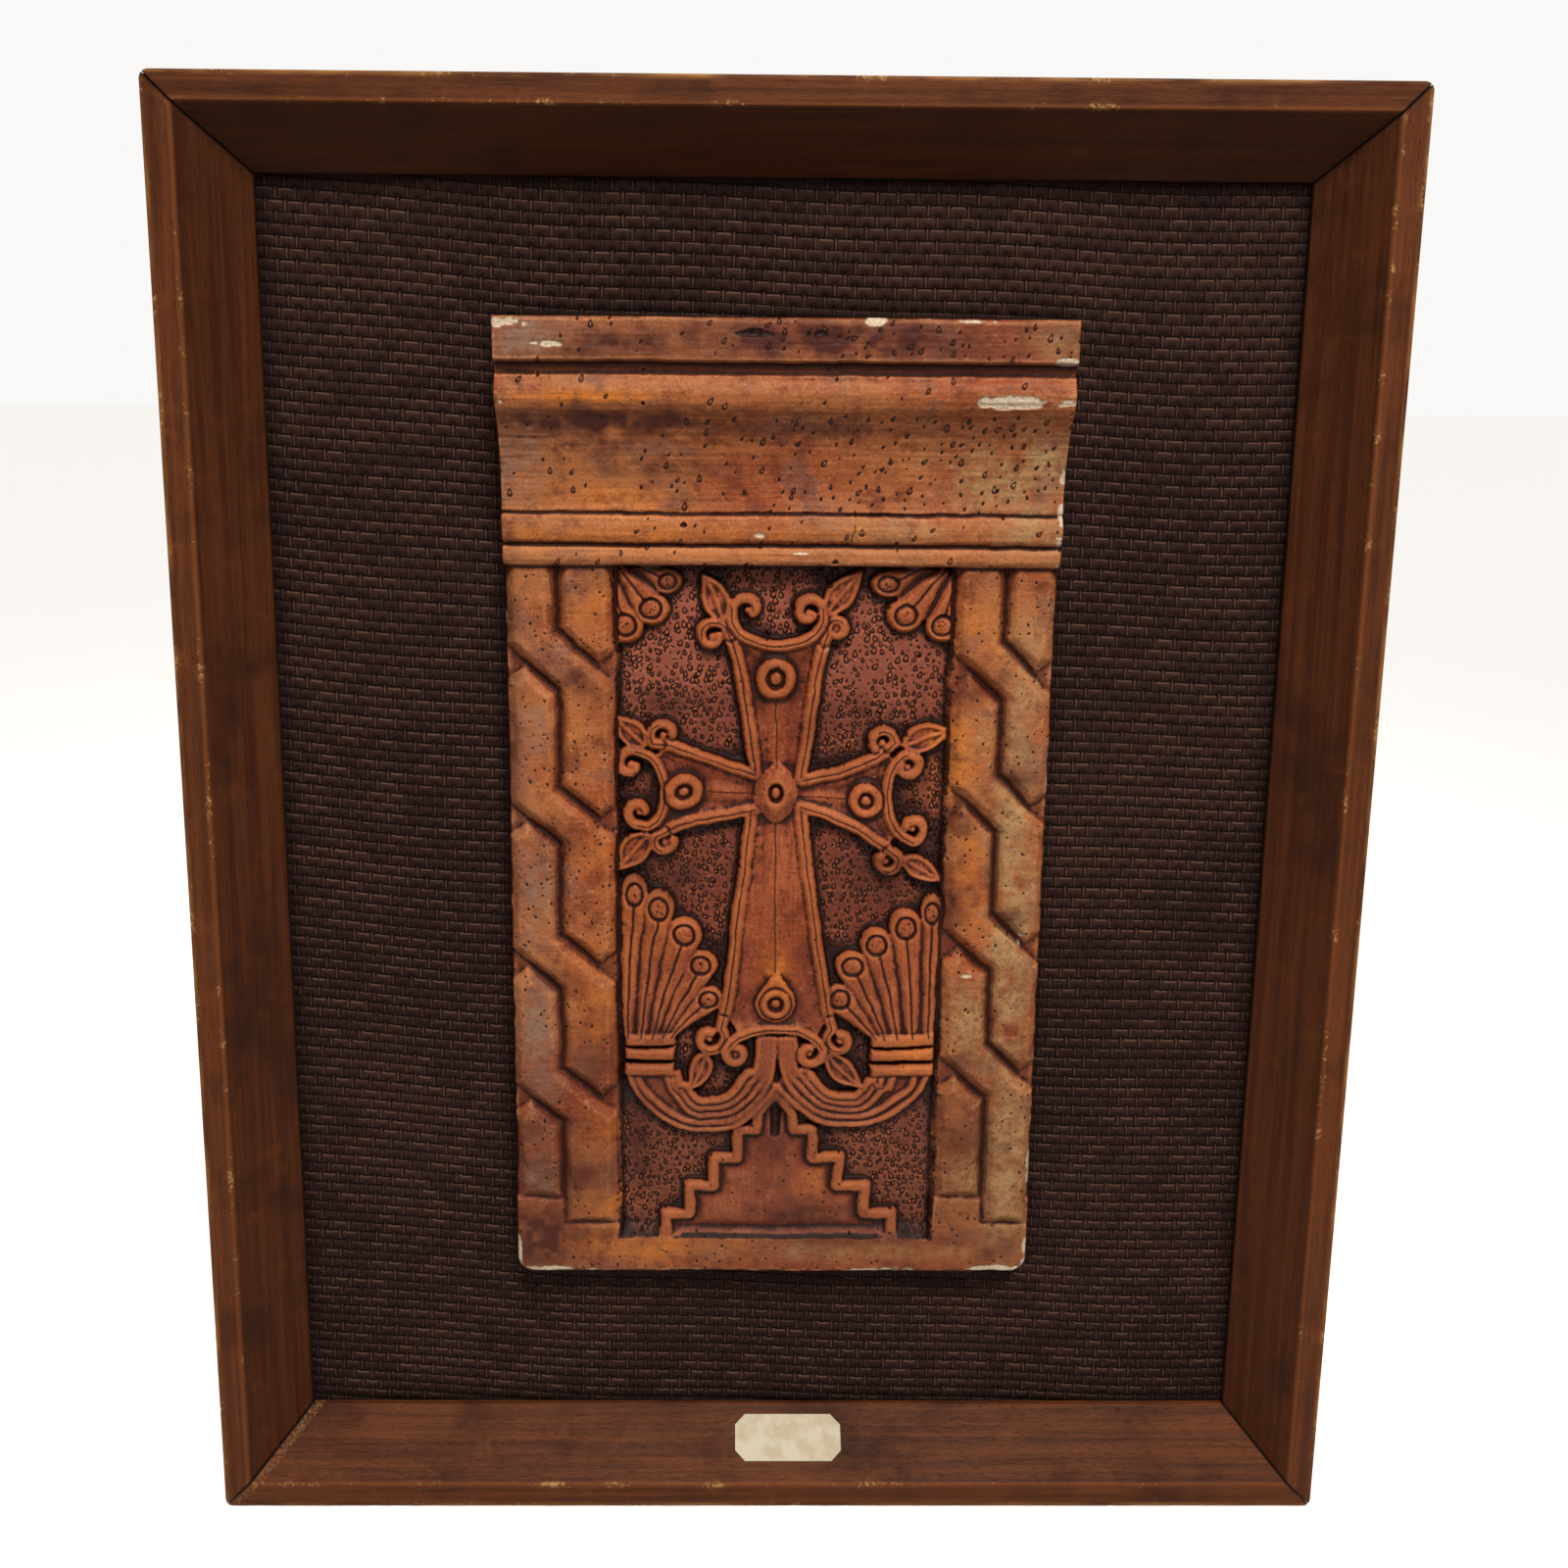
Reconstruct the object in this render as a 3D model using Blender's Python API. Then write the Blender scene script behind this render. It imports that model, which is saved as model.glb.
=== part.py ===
"""A small cross stone relief, cast and painted, in a glazing-free wooden shadow frame to hang on a wall.

Metres, +Z up. The front faces -Y, the wall is the plane Y = 0, and the origin is the middle of the back.
The carving is drawn in millimetres, as a pattern for the slab's field and its two braided borders.
"""

from math import atan2, cos, degrees, hypot, pi, radians, sin

import bmesh
import bpy
import numpy as np

OBJECT_NAME = "framed_cross_stone"
MM = 0.001

# Frame
FRAME_WIDTH = 0.320
FRAME_HEIGHT = 0.400
RAIL_DEPTH = 0.0245
FRONT_FLAT = 0.0072
SLOPE_INSET = 0.0152
LIP_THICKNESS = 0.0015
RABBET_OVERLAP = 0.006
CORNER_RADIUS = 0.003
EDGE_RADIUS = 0.0008
MITRE_GAP = 0.0003

# What the frame holds
FIT_GAP = 0.0003
BOARD_THICKNESS = 0.005
CLOTH_THICKNESS = 0.0012

# Title label on the bottom rail
LABEL_WIDTH = 0.0314
LABEL_HEIGHT = 0.0129
LABEL_THICKNESS = 0.0004
LABEL_CLIP = 0.0029
LABEL_SHIFT = 0.0054
LABEL_UP_SLOPE = 0.57

# Relief slab
RELIEF_WIDTH = 0.1472
RELIEF_HEIGHT = 0.2700
RELIEF_RAISED = 0.0066
FIELD_THICKNESS = 0.0070
LEFT_BORDER = 0.0290
RIGHT_BORDER = 0.0274
SILL_HEIGHT = 0.0104
CORNICE_HEIGHT = 0.0642
CORNICE_FRONT = 0.0223
CORNICE_FLARE = 0.0006
FOOT_RADIUS = 0.0045
BRAID_RISE = 0.0046
CROSS_RISE = 0.0036
WING_RISE = 0.0031
STEP_RISE = 0.0028

# The pattern's own extent, in drawn millimetres
DRAWN_FIELD = (-44.6, 46.2, -118.0, 77.4)
DRAWN_CORNICE_TOP = 141.6
DRAWN_CORNICE_FOOT = 13.0
DRAWN_CORNICE_FRONT = 22.3

# Mesh
GRID_PITCH = 0.0005
RELIEF_TRIANGLES = 8600
WELD_DISTANCE = 0.00001


def clear_scene():
    for obj in list(bpy.data.objects):
        bpy.data.objects.remove(obj, do_unlink=True)


def new_collection(name, shown):
    collection = bpy.data.collections.new(name)
    bpy.context.scene.collection.children.link(collection)
    collection.hide_render = not shown
    return collection


def principled(name, colour, roughness):
    material = bpy.data.materials.new(name)
    material.use_nodes = True
    shader = material.node_tree.nodes["Principled BSDF"]
    shader.inputs["Base Color"].default_value = (*colour, 1.0)
    shader.inputs["Roughness"].default_value = roughness
    shader.inputs["Metallic"].default_value = 0.0
    return material


def extruded(name, outline, thickness):
    """A flat outline in its own XY plane, extruded evenly to both sides of it."""
    curve = bpy.data.curves.new(name, "CURVE")
    curve.dimensions = "2D"
    curve.fill_mode = "BOTH"
    curve.extrude = thickness / 2
    spline = curve.splines.new("POLY")
    spline.points.add(len(outline) - 1)
    for point, (x, y) in zip(spline.points, outline):
        point.co = (x, y, 0, 1)
    spline.use_cyclic_u = True
    return bpy.data.objects.new(name, curve)


def as_mesh(obj, collection):
    """The object as one welded mesh in world space, in place of its curve."""
    bpy.context.scene.collection.objects.link(obj)
    bpy.context.view_layer.update()
    graph = bpy.context.evaluated_depsgraph_get()
    mesh = bpy.data.meshes.new_from_object(obj.evaluated_get(graph))
    mesh.transform(obj.matrix_world)
    name = obj.name
    bpy.data.objects.remove(obj, do_unlink=True)
    solid = bmesh.new()
    solid.from_mesh(mesh)
    bmesh.ops.remove_doubles(solid, verts=solid.verts, dist=WELD_DISTANCE)
    bmesh.ops.recalc_face_normals(solid, faces=solid.faces)
    solid.to_mesh(mesh)
    solid.free()
    made = bpy.data.objects.new(name, mesh)
    mesh.name = name
    collection.objects.link(made)
    return made


def rounded(outline, radius, steps=3):
    """The outline with each corner (x, y, share) turned into an arc of share times radius."""
    points = []
    count = len(outline)
    for i, (x, y, share) in enumerate(outline):
        if not share:
            points.append((x, y))
            continue
        here = np.array((x, y))
        before = np.array(outline[i - 1][:2]) - here
        after = np.array(outline[(i + 1) % count][:2]) - here
        before /= hypot(*before)
        after /= hypot(*after)
        half_angle = np.arccos(np.clip(before @ after, -1, 1)) / 2
        reach = share * radius / np.tan(half_angle)
        start, end = here + before * reach, here + after * reach
        for step in range(steps + 1):
            t = step / steps
            points.append(tuple((1 - t) ** 2 * start + 2 * t * (1 - t) * here + t * t * end))
    return points


def rounded_rectangle(width, height, radius, steps=5):
    corners = []
    for sign_x, sign_y, start in ((1, 1, 0), (-1, 1, 90), (-1, -1, 180), (1, -1, 270)):
        for step in range(steps + 1):
            angle = radians(start + 90 * step / steps)
            x = sign_x * (width / 2 - radius) + radius * cos(angle)
            y = sign_y * (height / 2 - radius) + radius * sin(angle)
            corners.append((x, y))
    return corners


# Depths behind the front, all measured from the wall
CLOTH_BACK = BOARD_THICKNESS + FIT_GAP
CLOTH_FRONT = CLOTH_BACK + CLOTH_THICKNESS
LIP_BACK = CLOTH_FRONT + FIT_GAP
LIP_FRONT = LIP_BACK + LIP_THICKNESS
SIGHT_INSET = FRONT_FLAT + SLOPE_INSET
RABBET_INSET = SIGHT_INSET - RABBET_OVERLAP
SLAB_BACK = CLOTH_FRONT + FIT_GAP
RELIEF_FOOT = (FRAME_HEIGHT - RELIEF_HEIGHT) / 2 + RELIEF_RAISED


def rail_profile():
    """Inset from the frame's outer face, and depth in front of the wall."""
    return rounded(
        [
            (0, 0, 0),
            (RABBET_INSET, 0, 0),
            (RABBET_INSET, LIP_BACK, 0),
            (SIGHT_INSET, LIP_BACK, 0),
            (SIGHT_INSET, LIP_FRONT, 0.5),
            (FRONT_FLAT, RAIL_DEPTH, 0.7),
            (0, RAIL_DEPTH, 1),
        ],
        EDGE_RADIUS,
    )


def rail(name, side, parts, corner_block):
    """One mitred length of the moulding. side is the outward direction of its outer face."""
    across, up = side
    run = FRAME_WIDTH if up else FRAME_HEIGHT
    reach = (FRAME_HEIGHT if up else FRAME_WIDTH) / 2
    blank = as_mesh(extruded(name, rail_profile(), run), parts)
    for vertex in blank.data.vertices:
        inset, depth, along = vertex.co
        mitred = run / 2 - inset - MITRE_GAP / 2 * 2**0.5
        along = mitred if along > 0 else -mitred
        outward = reach - inset
        vertex.co = (across * outward + up * along, -depth, up * outward - across * along)
    turned = bmesh.new()
    turned.from_mesh(blank.data)
    bmesh.ops.recalc_face_normals(turned, faces=turned.faces)
    turned.to_mesh(blank.data)
    turned.free()
    trim = blank.modifiers.new("round_corners", "BOOLEAN")
    trim.operation = "INTERSECT"
    trim.object = corner_block
    return blank


def frame_rails(parts, helpers, wood):
    margin = 0.002
    outline = rounded_rectangle(FRAME_WIDTH, FRAME_HEIGHT, CORNER_RADIUS)
    block = extruded("corner_block", outline, RAIL_DEPTH + 2 * margin)
    block.rotation_euler.x = pi / 2
    block.location.y = -RAIL_DEPTH / 2
    corner_block = as_mesh(block, helpers)
    corner_block.hide_render = True
    corner_block.display_type = "WIRE"
    # The block's sides stand just proud of the rails' outer faces, so that only the corners are trimmed
    proud = 0.00002
    for vertex in corner_block.data.vertices:
        vertex.co.x *= 1 + 2 * proud / FRAME_WIDTH
        vertex.co.z *= 1 + 2 * proud / FRAME_HEIGHT
    sides = {"top": (0, 1), "bottom": (0, -1), "left": (-1, 0), "right": (1, 0)}
    for name, side in sides.items():
        made = rail("frame_rail_" + name, side, parts, corner_block)
        made.data.materials.append(wood)


def sheet(name, width, height, back, front, parts, material):
    """A flat rectangular layer between two distances from the wall."""
    bpy.ops.mesh.primitive_cube_add(size=1, location=(0, -(back + front) / 2, 0))
    made = bpy.context.object
    made.name = name
    made.scale = (width, front - back, height)
    bpy.ops.object.transform_apply(location=False, rotation=False, scale=True)
    for collection in made.users_collection:
        collection.objects.unlink(made)
    parts.objects.link(made)
    made.data.materials.append(material)
    return made


def title_label(parts, material):
    """A card with clipped corners, lying on the bottom rail's slope."""
    half_width, half_height = LABEL_WIDTH / 2, LABEL_HEIGHT / 2
    clip = LABEL_CLIP
    quarter = [(half_width, half_height - clip), (half_width - clip, half_height)]
    outline = quarter + [(-x, y) for x, y in reversed(quarter)]
    outline += [(-x, -y) for x, y in outline]
    slope_drop = RAIL_DEPTH - LIP_FRONT
    slope_length = hypot(SLOPE_INSET, slope_drop)
    lift = FIT_GAP + LABEL_THICKNESS / 2
    card = extruded("title_label", outline, LABEL_THICKNESS)
    inset = FRONT_FLAT + LABEL_UP_SLOPE * SLOPE_INSET
    depth = RAIL_DEPTH - LABEL_UP_SLOPE * slope_drop
    normal_y = -SLOPE_INSET / slope_length
    normal_z = slope_drop / slope_length
    card.rotation_euler.x = atan2(-normal_y, normal_z)
    card.location = (
        LABEL_SHIFT,
        -depth + normal_y * lift,
        -FRAME_HEIGHT / 2 + inset + normal_z * lift,
    )
    made = as_mesh(card, parts)
    made.data.materials.append(material)


def smooth(points, steps=5):
    """A curve through the given points."""
    through = np.array([points[0], *points, points[-1]], float)
    curve = []
    for a, b, c, d in zip(through, through[1:], through[2:], through[3:]):
        for t in np.arange(steps) / steps:
            cubic = 2 * b + (c - a) * t + (2 * a - 5 * b + 4 * c - d) * t**2
            curve.append((cubic + (3 * b - a - 3 * c + d) * t**3) / 2)
    return np.array([*curve, through[-2]])


def curl(path, centre, end_radius, turn, steps=12):
    """The path, going on as a spiral round the centre by turn degrees."""
    start = path[-1] - np.array(centre)
    first_radius, first_angle = hypot(*start), atan2(start[1], start[0])
    spiral = []
    for step in range(1, steps + 1):
        share = step / steps
        radius = first_radius + (end_radius - first_radius) * share
        angle = first_angle + radians(turn) * share
        spiral.append((centre[0] + radius * cos(angle), centre[1] + radius * sin(angle)))
    return np.vstack([path, spiral])


def oval(centre, across, high, start=0, end=360, steps=20):
    angle = np.radians(np.linspace(start, end, steps + 1))
    return np.stack([centre[0] + across * np.cos(angle), centre[1] + high * np.sin(angle)], 1)


class Carving:
    """Heights over the slab's back, in millimetres, at points x, z of the drawn pattern."""

    def __init__(self, x, z, heights, floor):
        self.x, self.z, self.heights, self.floor = x, z, heights, floor

    def near(self, points, reach):
        low = np.min(points, axis=0) - reach
        high = np.max(points, axis=0) + reach
        inside_x = (self.x > low[0]) & (self.x < high[0])
        return np.nonzero(inside_x & (self.z > low[1]) & (self.z < high[1]))

    def distance(self, at, points, closed=False):
        """How far each point lies from the line."""
        x, z = self.x[at], self.z[at]
        best = np.full(x.shape, np.inf)
        ends = np.roll(points, -1, axis=0) if closed else points[1:]
        for (ax, az), (bx, bz) in zip(points, ends):
            length2 = (bx - ax) ** 2 + (bz - az) ** 2
            if not length2:
                continue
            t = np.clip(((x - ax) * (bx - ax) + (z - az) * (bz - az)) / length2, 0, 1)
            best = np.minimum(best, np.hypot(x - ax - t * (bx - ax), z - az - t * (bz - az)))
        return best

    def inside(self, at, outline):
        x, z = self.x[at], self.z[at]
        odd = np.zeros(x.shape, bool)
        for (ax, az), (bx, bz) in zip(outline, np.roll(outline, -1, axis=0)):
            if az != bz:
                odd ^= ((az > z) != (bz > z)) & (x < (bx - ax) * (z - az) / (bz - az) + ax)
        return odd

    def strand(self, line, width, top, drop=0.7, clear=0.0, depth=1.2, closed=False):
        """A raised round-topped band along a line, with a cut of width clear on both sides."""
        line = np.asarray(line, float)
        at = self.near(line, width / 2 + clear)
        apart = self.distance(at, line, closed)
        height = self.heights[at]
        crown = top - drop * np.clip(2 * apart / width, 0, 1) ** 3
        if clear:
            cut = np.minimum(height, max(top - depth, self.floor))
            height = np.where(apart < width / 2 + clear, cut, height)
        else:
            crown = np.maximum(height, crown)
        self.heights[at] = np.where(apart < width / 2, crown, height)

    def groove(self, line, width, depth):
        """A thin cut along a line."""
        line = np.asarray(line, float)
        at = self.near(line, width / 2)
        apart = self.distance(at, line)
        self.heights[at] -= depth * np.clip(1 - (2 * apart / width) ** 2, 0, 1)

    def plate(self, outline, top, edge=1.0, drop=0.6, clear=0.0, depth=1.2):
        """A raised area, its rim falling by drop over the width edge."""
        outline = np.asarray(outline, float)
        at = self.near(outline, clear)
        apart = self.distance(at, outline, closed=True)
        covered = self.inside(at, outline)
        height = self.heights[at]
        face = top - drop * np.clip(1 - apart / edge, 0, 1)
        if clear:
            cut = np.minimum(height, max(top - depth, self.floor))
            height = np.where(~covered & (apart < clear), cut, height)
        else:
            face = np.maximum(height, face)
        self.heights[at] = np.where(covered, face, height)

    def dome(self, centre, across, high, foot, rise):
        at = self.near([centre], max(across, high))
        x, z = self.x[at] - centre[0], self.z[at] - centre[1]
        share = (x / across) ** 2 + (z / high) ** 2
        crown = foot + rise * np.sqrt(np.clip(1 - share, 0, 1))
        self.heights[at] = np.where(share < 1, crown, self.heights[at])

    def boss(self, centre, across, high, eye, top):
        """A raised ring round a sunk ring with a small dome in it."""
        self.dome(centre, across + 0.5, high + 0.5, top - 1.9, 0)
        ring = oval(centre, (across + eye) / 2, (high + eye) / 2)
        self.strand(ring, across - eye, top, 0.8, closed=True)
        self.dome(centre, eye, eye * high / across, top - 2.0, 0)
        self.dome(centre, 0.66 * eye, 0.66 * eye * high / across, top - 1.6, 0.8)


# Cross. Each arm has two edges that run out from the middle and end in scrolls (centre, end radius, turn),
# and a scooped end line whose two ends curl inwards.
ARMS = {
    "up": {
        "edges": (
            [(-6.3, 20), (-8.6, 36), (-10.4, 46), (-12.6, 55), (-14.6, 60.5)],
            [(6.2, 19.5), (7.9, 36), (9.4, 46), (11, 54), (12.6, 59.5)],
        ),
        "outward": (((-18.3, 58.4), 1.6, 330), ((15.2, 60.6), 1.6, -330)),
        "end": [(-13.2, 66), (-12.7, 61.5), (-9.5, 57.8), (-1, 55.6), (7.5, 58), (11, 62), (11.4, 66)],
        "inward": (((-9, 65.4), 1.4, -200), ((7.3, 65), 1.4, 300)),
        "ridge": [(-0.6, 22), (-1.5, 41)],
    },
    "left": {
        "edges": (
            [(-6.5, 20), (-14.5, 22.6), (-22, 25.6), (-29.5, 28.3), (-34.3, 29.0)],
            [(-6, 10.3), (-13, 8.8), (-21, 7.3), (-28, 5.2), (-33.6, 2.8)],
        ),
        "outward": (((-31.4, 31.2), 2.6, -215), ((-31.2, 0.9), 2.2, 230)),
        "end": [(-39, 27), (-34.6, 25), (-32, 20), (-31.1, 14.5), (-32.1, 9), (-35.2, 5.8), (-38.5, 5.8)],
        "inward": (((-40.3, 23), 1.6, 250), ((-38.2, 9.4), 1.6, -250)),
        "ridge": [(-6, 14.5), (-21, 14.6)],
    },
    "right": {
        "edges": (
            [(6.8, 18.6), (14.5, 20.3), (21.5, 22.8), (27.5, 26), (31.6, 29.2)],
            [(6.2, 11), (14.5, 8.2), (21.5, 5), (28, 1.2), (33.4, -3.0)],
        ),
        "outward": (((28.0, 29.4), 2.6, 220), ((30.2, -4.4), 2.0, -250)),
        "end": [(34.5, 26.2), (32, 23.6), (30.3, 19.5), (29.7, 14.5), (30.8, 8.5), (33.6, 3.6), (37.2, 1.2)],
        "inward": (((35.2, 22.6), 1.7, -290), ((37, 5), 1.8, 240)),
        "ridge": [(5.5, 14), (19, 13.2)],
    },
    "down": {
        "edges": (
            [(-7.3, 9.5), (-9, -6), (-10.8, -20), (-12.6, -35), (-13.8, -47), (-15.3, -54.2)],
            [(6.4, 10), (8.2, -6), (10.3, -20), (12.3, -35), (14.2, -47), (16, -53.8)],
        ),
        "outward": (((-18.4, -57.4), 1.9, -330), ((18.2, -57.2), 1.8, 320)),
        "end": [
            (-13.4, -59.6), (-10.5, -56.8), (-5.5, -54.8), (0, -54), (6.5, -54.8), (11.5, -57), (13.4, -59.4),
        ],
        "inward": (((-11.2, -61.6), 1.7, 300), ((9.9, -61.2), 1.7, -300)),
        "ridge": [(-0.4, 7), (-0.5, -37)],
    },
}
ROUND_BOSSES = (((-1.5, 46.8), 5.3, 6.0, 2.6), ((-26.2, 15), 5.2, 5.0, 2.2), ((24, 13), 4.6, 5.3, 2.1))
CROSS_MIDDLE = (-0.5, 15.0)
DROP_BOSS = (-0.4, -46.3)
DROP_TIP = (0, -36.4)
SCROLL_EYE = 1.1

# Leaves: root, tip, width and sideways bend
LEAVES = (
    ((-15.5, 62.5), (-20.8, 74.8), 6.6, -0.8),
    ((12.6, 64.5), (21.5, 76), 6.4, 0.6),
    ((-36.5, 28.4), (-44.4, 35.8), 6.2, 0),
    ((-35.5, 3.2), (-44.2, -7.0), 7.2, 0),
    ((34, 28.6), (46, 33.0), 6.6, 0),
    ((35, -3.5), (45, -9.8), 5.4, 0),
    ((-19.6, -61.5), (-24.2, -72), 5.8, 2),
    ((15, -61.5), (24.5, -71.6), 6.0, -1),
)

# Petals: foot, head centre, head half width and half height, width at the foot
PALMETTES = (
    ((-38, 77.5), (-30.2, 73.2), 3.6, 3.2, 2.2),
    ((-43.5, 77), (-34.6, 65.8), 4.4, 4.2, 2.4),
    ((-45.6, 74), (-41.6, 61.4), 4.4, 4.6, 2.4),
    ((38, 77.5), (28.4, 72.6), 4.0, 3.4, 2.2),
    ((43.6, 77), (33.2, 64.2), 4.5, 4.4, 2.6),
    ((46.4, 75), (43.2, 61.4), 4.2, 4.4, 2.6),
)
WINGS = (
    ((-41.8, -56), (-39.6, -14.5), 3.5, 5.4, 3.0),
    ((-38.0, -56), (-32.8, -18.8), 4.0, 5.2, 3.0),
    ((-34.8, -56), (-25.8, -26), 4.6, 4.6, 2.6),
    ((-31.8, -56), (-21.2, -34.8), 4.3, 4.2, 2.4),
    ((-29.4, -56), (-19, -45.2), 4.1, 3.8, 2.2),
    ((43.2, -56), (43.2, -19.5), 2.8, 5.2, 3.2),
    ((39, -56), (36, -24), 4.2, 5.4, 3.4),
    ((34.8, -56), (28, -29), 4.2, 4.6, 3.0),
    ((31.2, -56), (21.4, -35.6), 4.4, 4.2, 2.6),
    ((28.6, -56), (18, -45), 4.2, 4.0, 2.4),
)

# Collars round the wings' feet: left and right ends, the bars' heights and half of a bar's height
COLLARS = ((-42.8, -28.2), (27.0, 44.8))
COLLAR_BARS = (-56.9, -61.3, -66.2)
COLLAR_HALF = 1.9

# Stalks under the wings, outermost first: start beside the middle, lowest point, and where they rise again
LEFT_STALKS = (
    (41.2, -84.2, -0.2), (39.0, -82.1, 0.5), (30.6, -80.0, 1.8), (29.2, -77.9, 3.2), (27.6, -75.8, 4.6),
)
RIGHT_STALKS = (
    (43.0, -82.8, 0.4), (39.6, -80.4, 1.4), (33.4, -78.2, 2.7), (30.6, -76.2, 4.0), (28.4, -74.4, 5.2),
)
STALKS = ((-1, 20, LEFT_STALKS), (1, 22, RIGHT_STALKS))

# Stepped base: first and last riser of each side, the steps' number, their lowest and highest tread, the top,
# and the ends of the dark opening under it
STEP_SIDES = ((-30.9, -10.6), (34.0, 11.0))
STEP_COUNT = 4
STEP_LOWEST = -111.1
STEP_HIGHEST = -84.6
STEP_APEX = (0, -73.5)
STEP_GAP = ((0.3, -79.5), (0.3, -86.0))

# Borders: heights where the straps cross, and the height where the lowest strap ends
LEFT_CROSSINGS = (51.3, 8.3, -34.4, -74.0)
RIGHT_CROSSINGS = (49.2, 12.2, -28.0, -66.6)
BRAID_END = -105.0
SILL_DROP = 1.4
LEDGE_SLOPE = 0.9
STRAP_CHAMFER = 2.6
STRAP_FALL = 2.2
STRAP_CUT = 0.25

# Where each border's two columns meet, as a share of its width from its left edge
LEFT_BRAID_SPLIT = 0.462
RIGHT_BRAID_SPLIT = 0.496

# Cornice profile below its top fillet, from the carving's own drawing: height and distance from the back
CORNICE_TOP = [(141.6, 21.2), (140.8, 22.0), (130.6, 22.3), (130.1, 19.4), (127.4, 19.2), (126.8, 20.8)]
CORNICE_SWEEP = [
    (126.4, 20.2), (125.2, 21.3), (122.4, 21.9), (119.2, 20.9), (115.5, 18.2), (110, 15.3), (103, 13.5),
    (96, 12.8), (92, 13.2),
]
CORNICE_ROLL = (87.4, 3.7, 12.9, 1.4)
CORNICE_FILLET = [(82.9, 11.8), (82.4, 13.2), (81.0, 13.7), (79.0, 13.6), (78.2, 13.0)]


def carve_leaf(field, root, tip, width, bend, top):
    root, tip = np.array(root, float), np.array(tip, float)
    axis = tip - root
    side = np.array([-axis[1], axis[0]]) / hypot(*axis)
    middle = (root + tip) / 2 + side * bend
    shares = np.linspace(0, 1, 9)
    spine = np.array([(1 - t) ** 2 * root + 2 * t * (1 - t) * middle + t * t * tip for t in shares])
    reach = np.array([side * width / 2 * sin(pi * t**0.8) for t in shares])
    outline = np.vstack([spine + reach, (spine - reach)[-2:0:-1]])
    field.plate(outline, top - 0.9, 0.6, 0.4, clear=0.5)
    field.strand(outline, 1.3, top, 0.6, closed=True)
    field.strand(spine[1:-1], 0.16 * width, top - 0.2, 0.6)


def petal_outline(foot, head, half_width, half_height, foot_width):
    foot, head = np.array(foot, float), np.array(head, float)
    axis = head - foot
    lean = degrees(atan2(axis[1], axis[0]))
    side = np.array([-axis[1], axis[0]]) / hypot(*axis)
    loop = oval(head, 1.1 * half_width, 1.1 * half_height, lean - 92, lean + 92, 16)
    return np.vstack([foot - side * foot_width / 2, loop, foot + side * foot_width / 2])


def carve_petals(field, petals, top):
    """Broad rounded petals side by side, each with a ringed eye and a cut down its middle."""
    web = [petals[0][0], *(petal[1] for petal in petals), petals[-1][0]]
    field.plate(web, top - 1.3, 0.5, 0.3)
    for petal in petals:
        field.plate(petal_outline(*petal), top, 1.5, 1.0)
    for foot, head, half_width, half_height, _ in petals:
        eye_width, eye_height = 0.56 * half_width, 0.56 * half_height
        field.dome(head, eye_width + 0.6, eye_height + 0.6, top - 1.3, 0)
        field.dome(head, eye_width, eye_height, top - 0.8, 0.7)
        foot, head = np.array(foot, float), np.array(head, float)
        away = (foot - head) / hypot(*(foot - head))
        field.groove([head + away * (eye_height + 0.4), foot], 0.7, 0.8)


def carve_arm(field, arm, rim_top):
    end = smooth(arm["end"])
    for edge, (centre, end_radius, turn) in zip(arm["edges"], arm["outward"]):
        edge = smooth(edge)
        whole = curl(edge, centre, end_radius, turn)
        field.strand(edge, 3.6, rim_top, 0.7)
        field.strand(whole[len(edge) - 4:], 2.9, rim_top, 1.0, clear=0.45)
        field.groove(whole[:-9], 0.5, 0.5)
    (first, first_radius, first_turn), (last, last_radius, last_turn) = arm["inward"]
    whole = curl(end[::-1], first, first_radius, first_turn)[::-1]
    whole = curl(whole, last, last_radius, last_turn)
    field.strand(whole, 3.1, rim_top + 0.1, 0.9, clear=0.35)
    field.groove(end, 0.5, 0.5)
    for centre, _, _ in (*arm["outward"], *arm["inward"]):
        field.dome(centre, SCROLL_EYE, SCROLL_EYE, rim_top - 1.3, 0.8)


def carve_arm_face(field, arm, low, high):
    """The arm between its rims: scooped, rising towards both of them and to a fine ridge in the middle."""
    outline = arm_outline(arm)
    at = field.near(outline, 0)
    apart = np.full(field.x[at].shape, np.inf)
    for line in (*arm["edges"], arm["end"]):
        apart = np.minimum(apart, field.distance(at, smooth(line)))
    scoop = np.clip(1 - apart / 6.0, 0, 1) ** 2
    from_ridge = field.distance(at, np.array(arm["ridge"], float))
    ridge = 0.6 * np.clip(1 - from_ridge / 4.0, 0, 1) ** 1.5
    face = low + (high - low) * np.maximum(scoop, ridge)
    covered = field.inside(at, outline)
    field.heights[at] = np.where(covered, np.maximum(field.heights[at], face), field.heights[at])
    field.groove(arm["ridge"], 0.5, 0.3)


def arm_outline(arm):
    """The arm's two edges, joined by the middle stretch of its scooped end."""
    first, second = (smooth(edge)[:-4] for edge in arm["edges"])
    end = smooth(arm["end"])[6:-6]
    if hypot(*(end[0] - first[-1])) > hypot(*(end[-1] - first[-1])):
        end = end[::-1]
    return np.vstack([first, end, second[::-1]])


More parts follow.
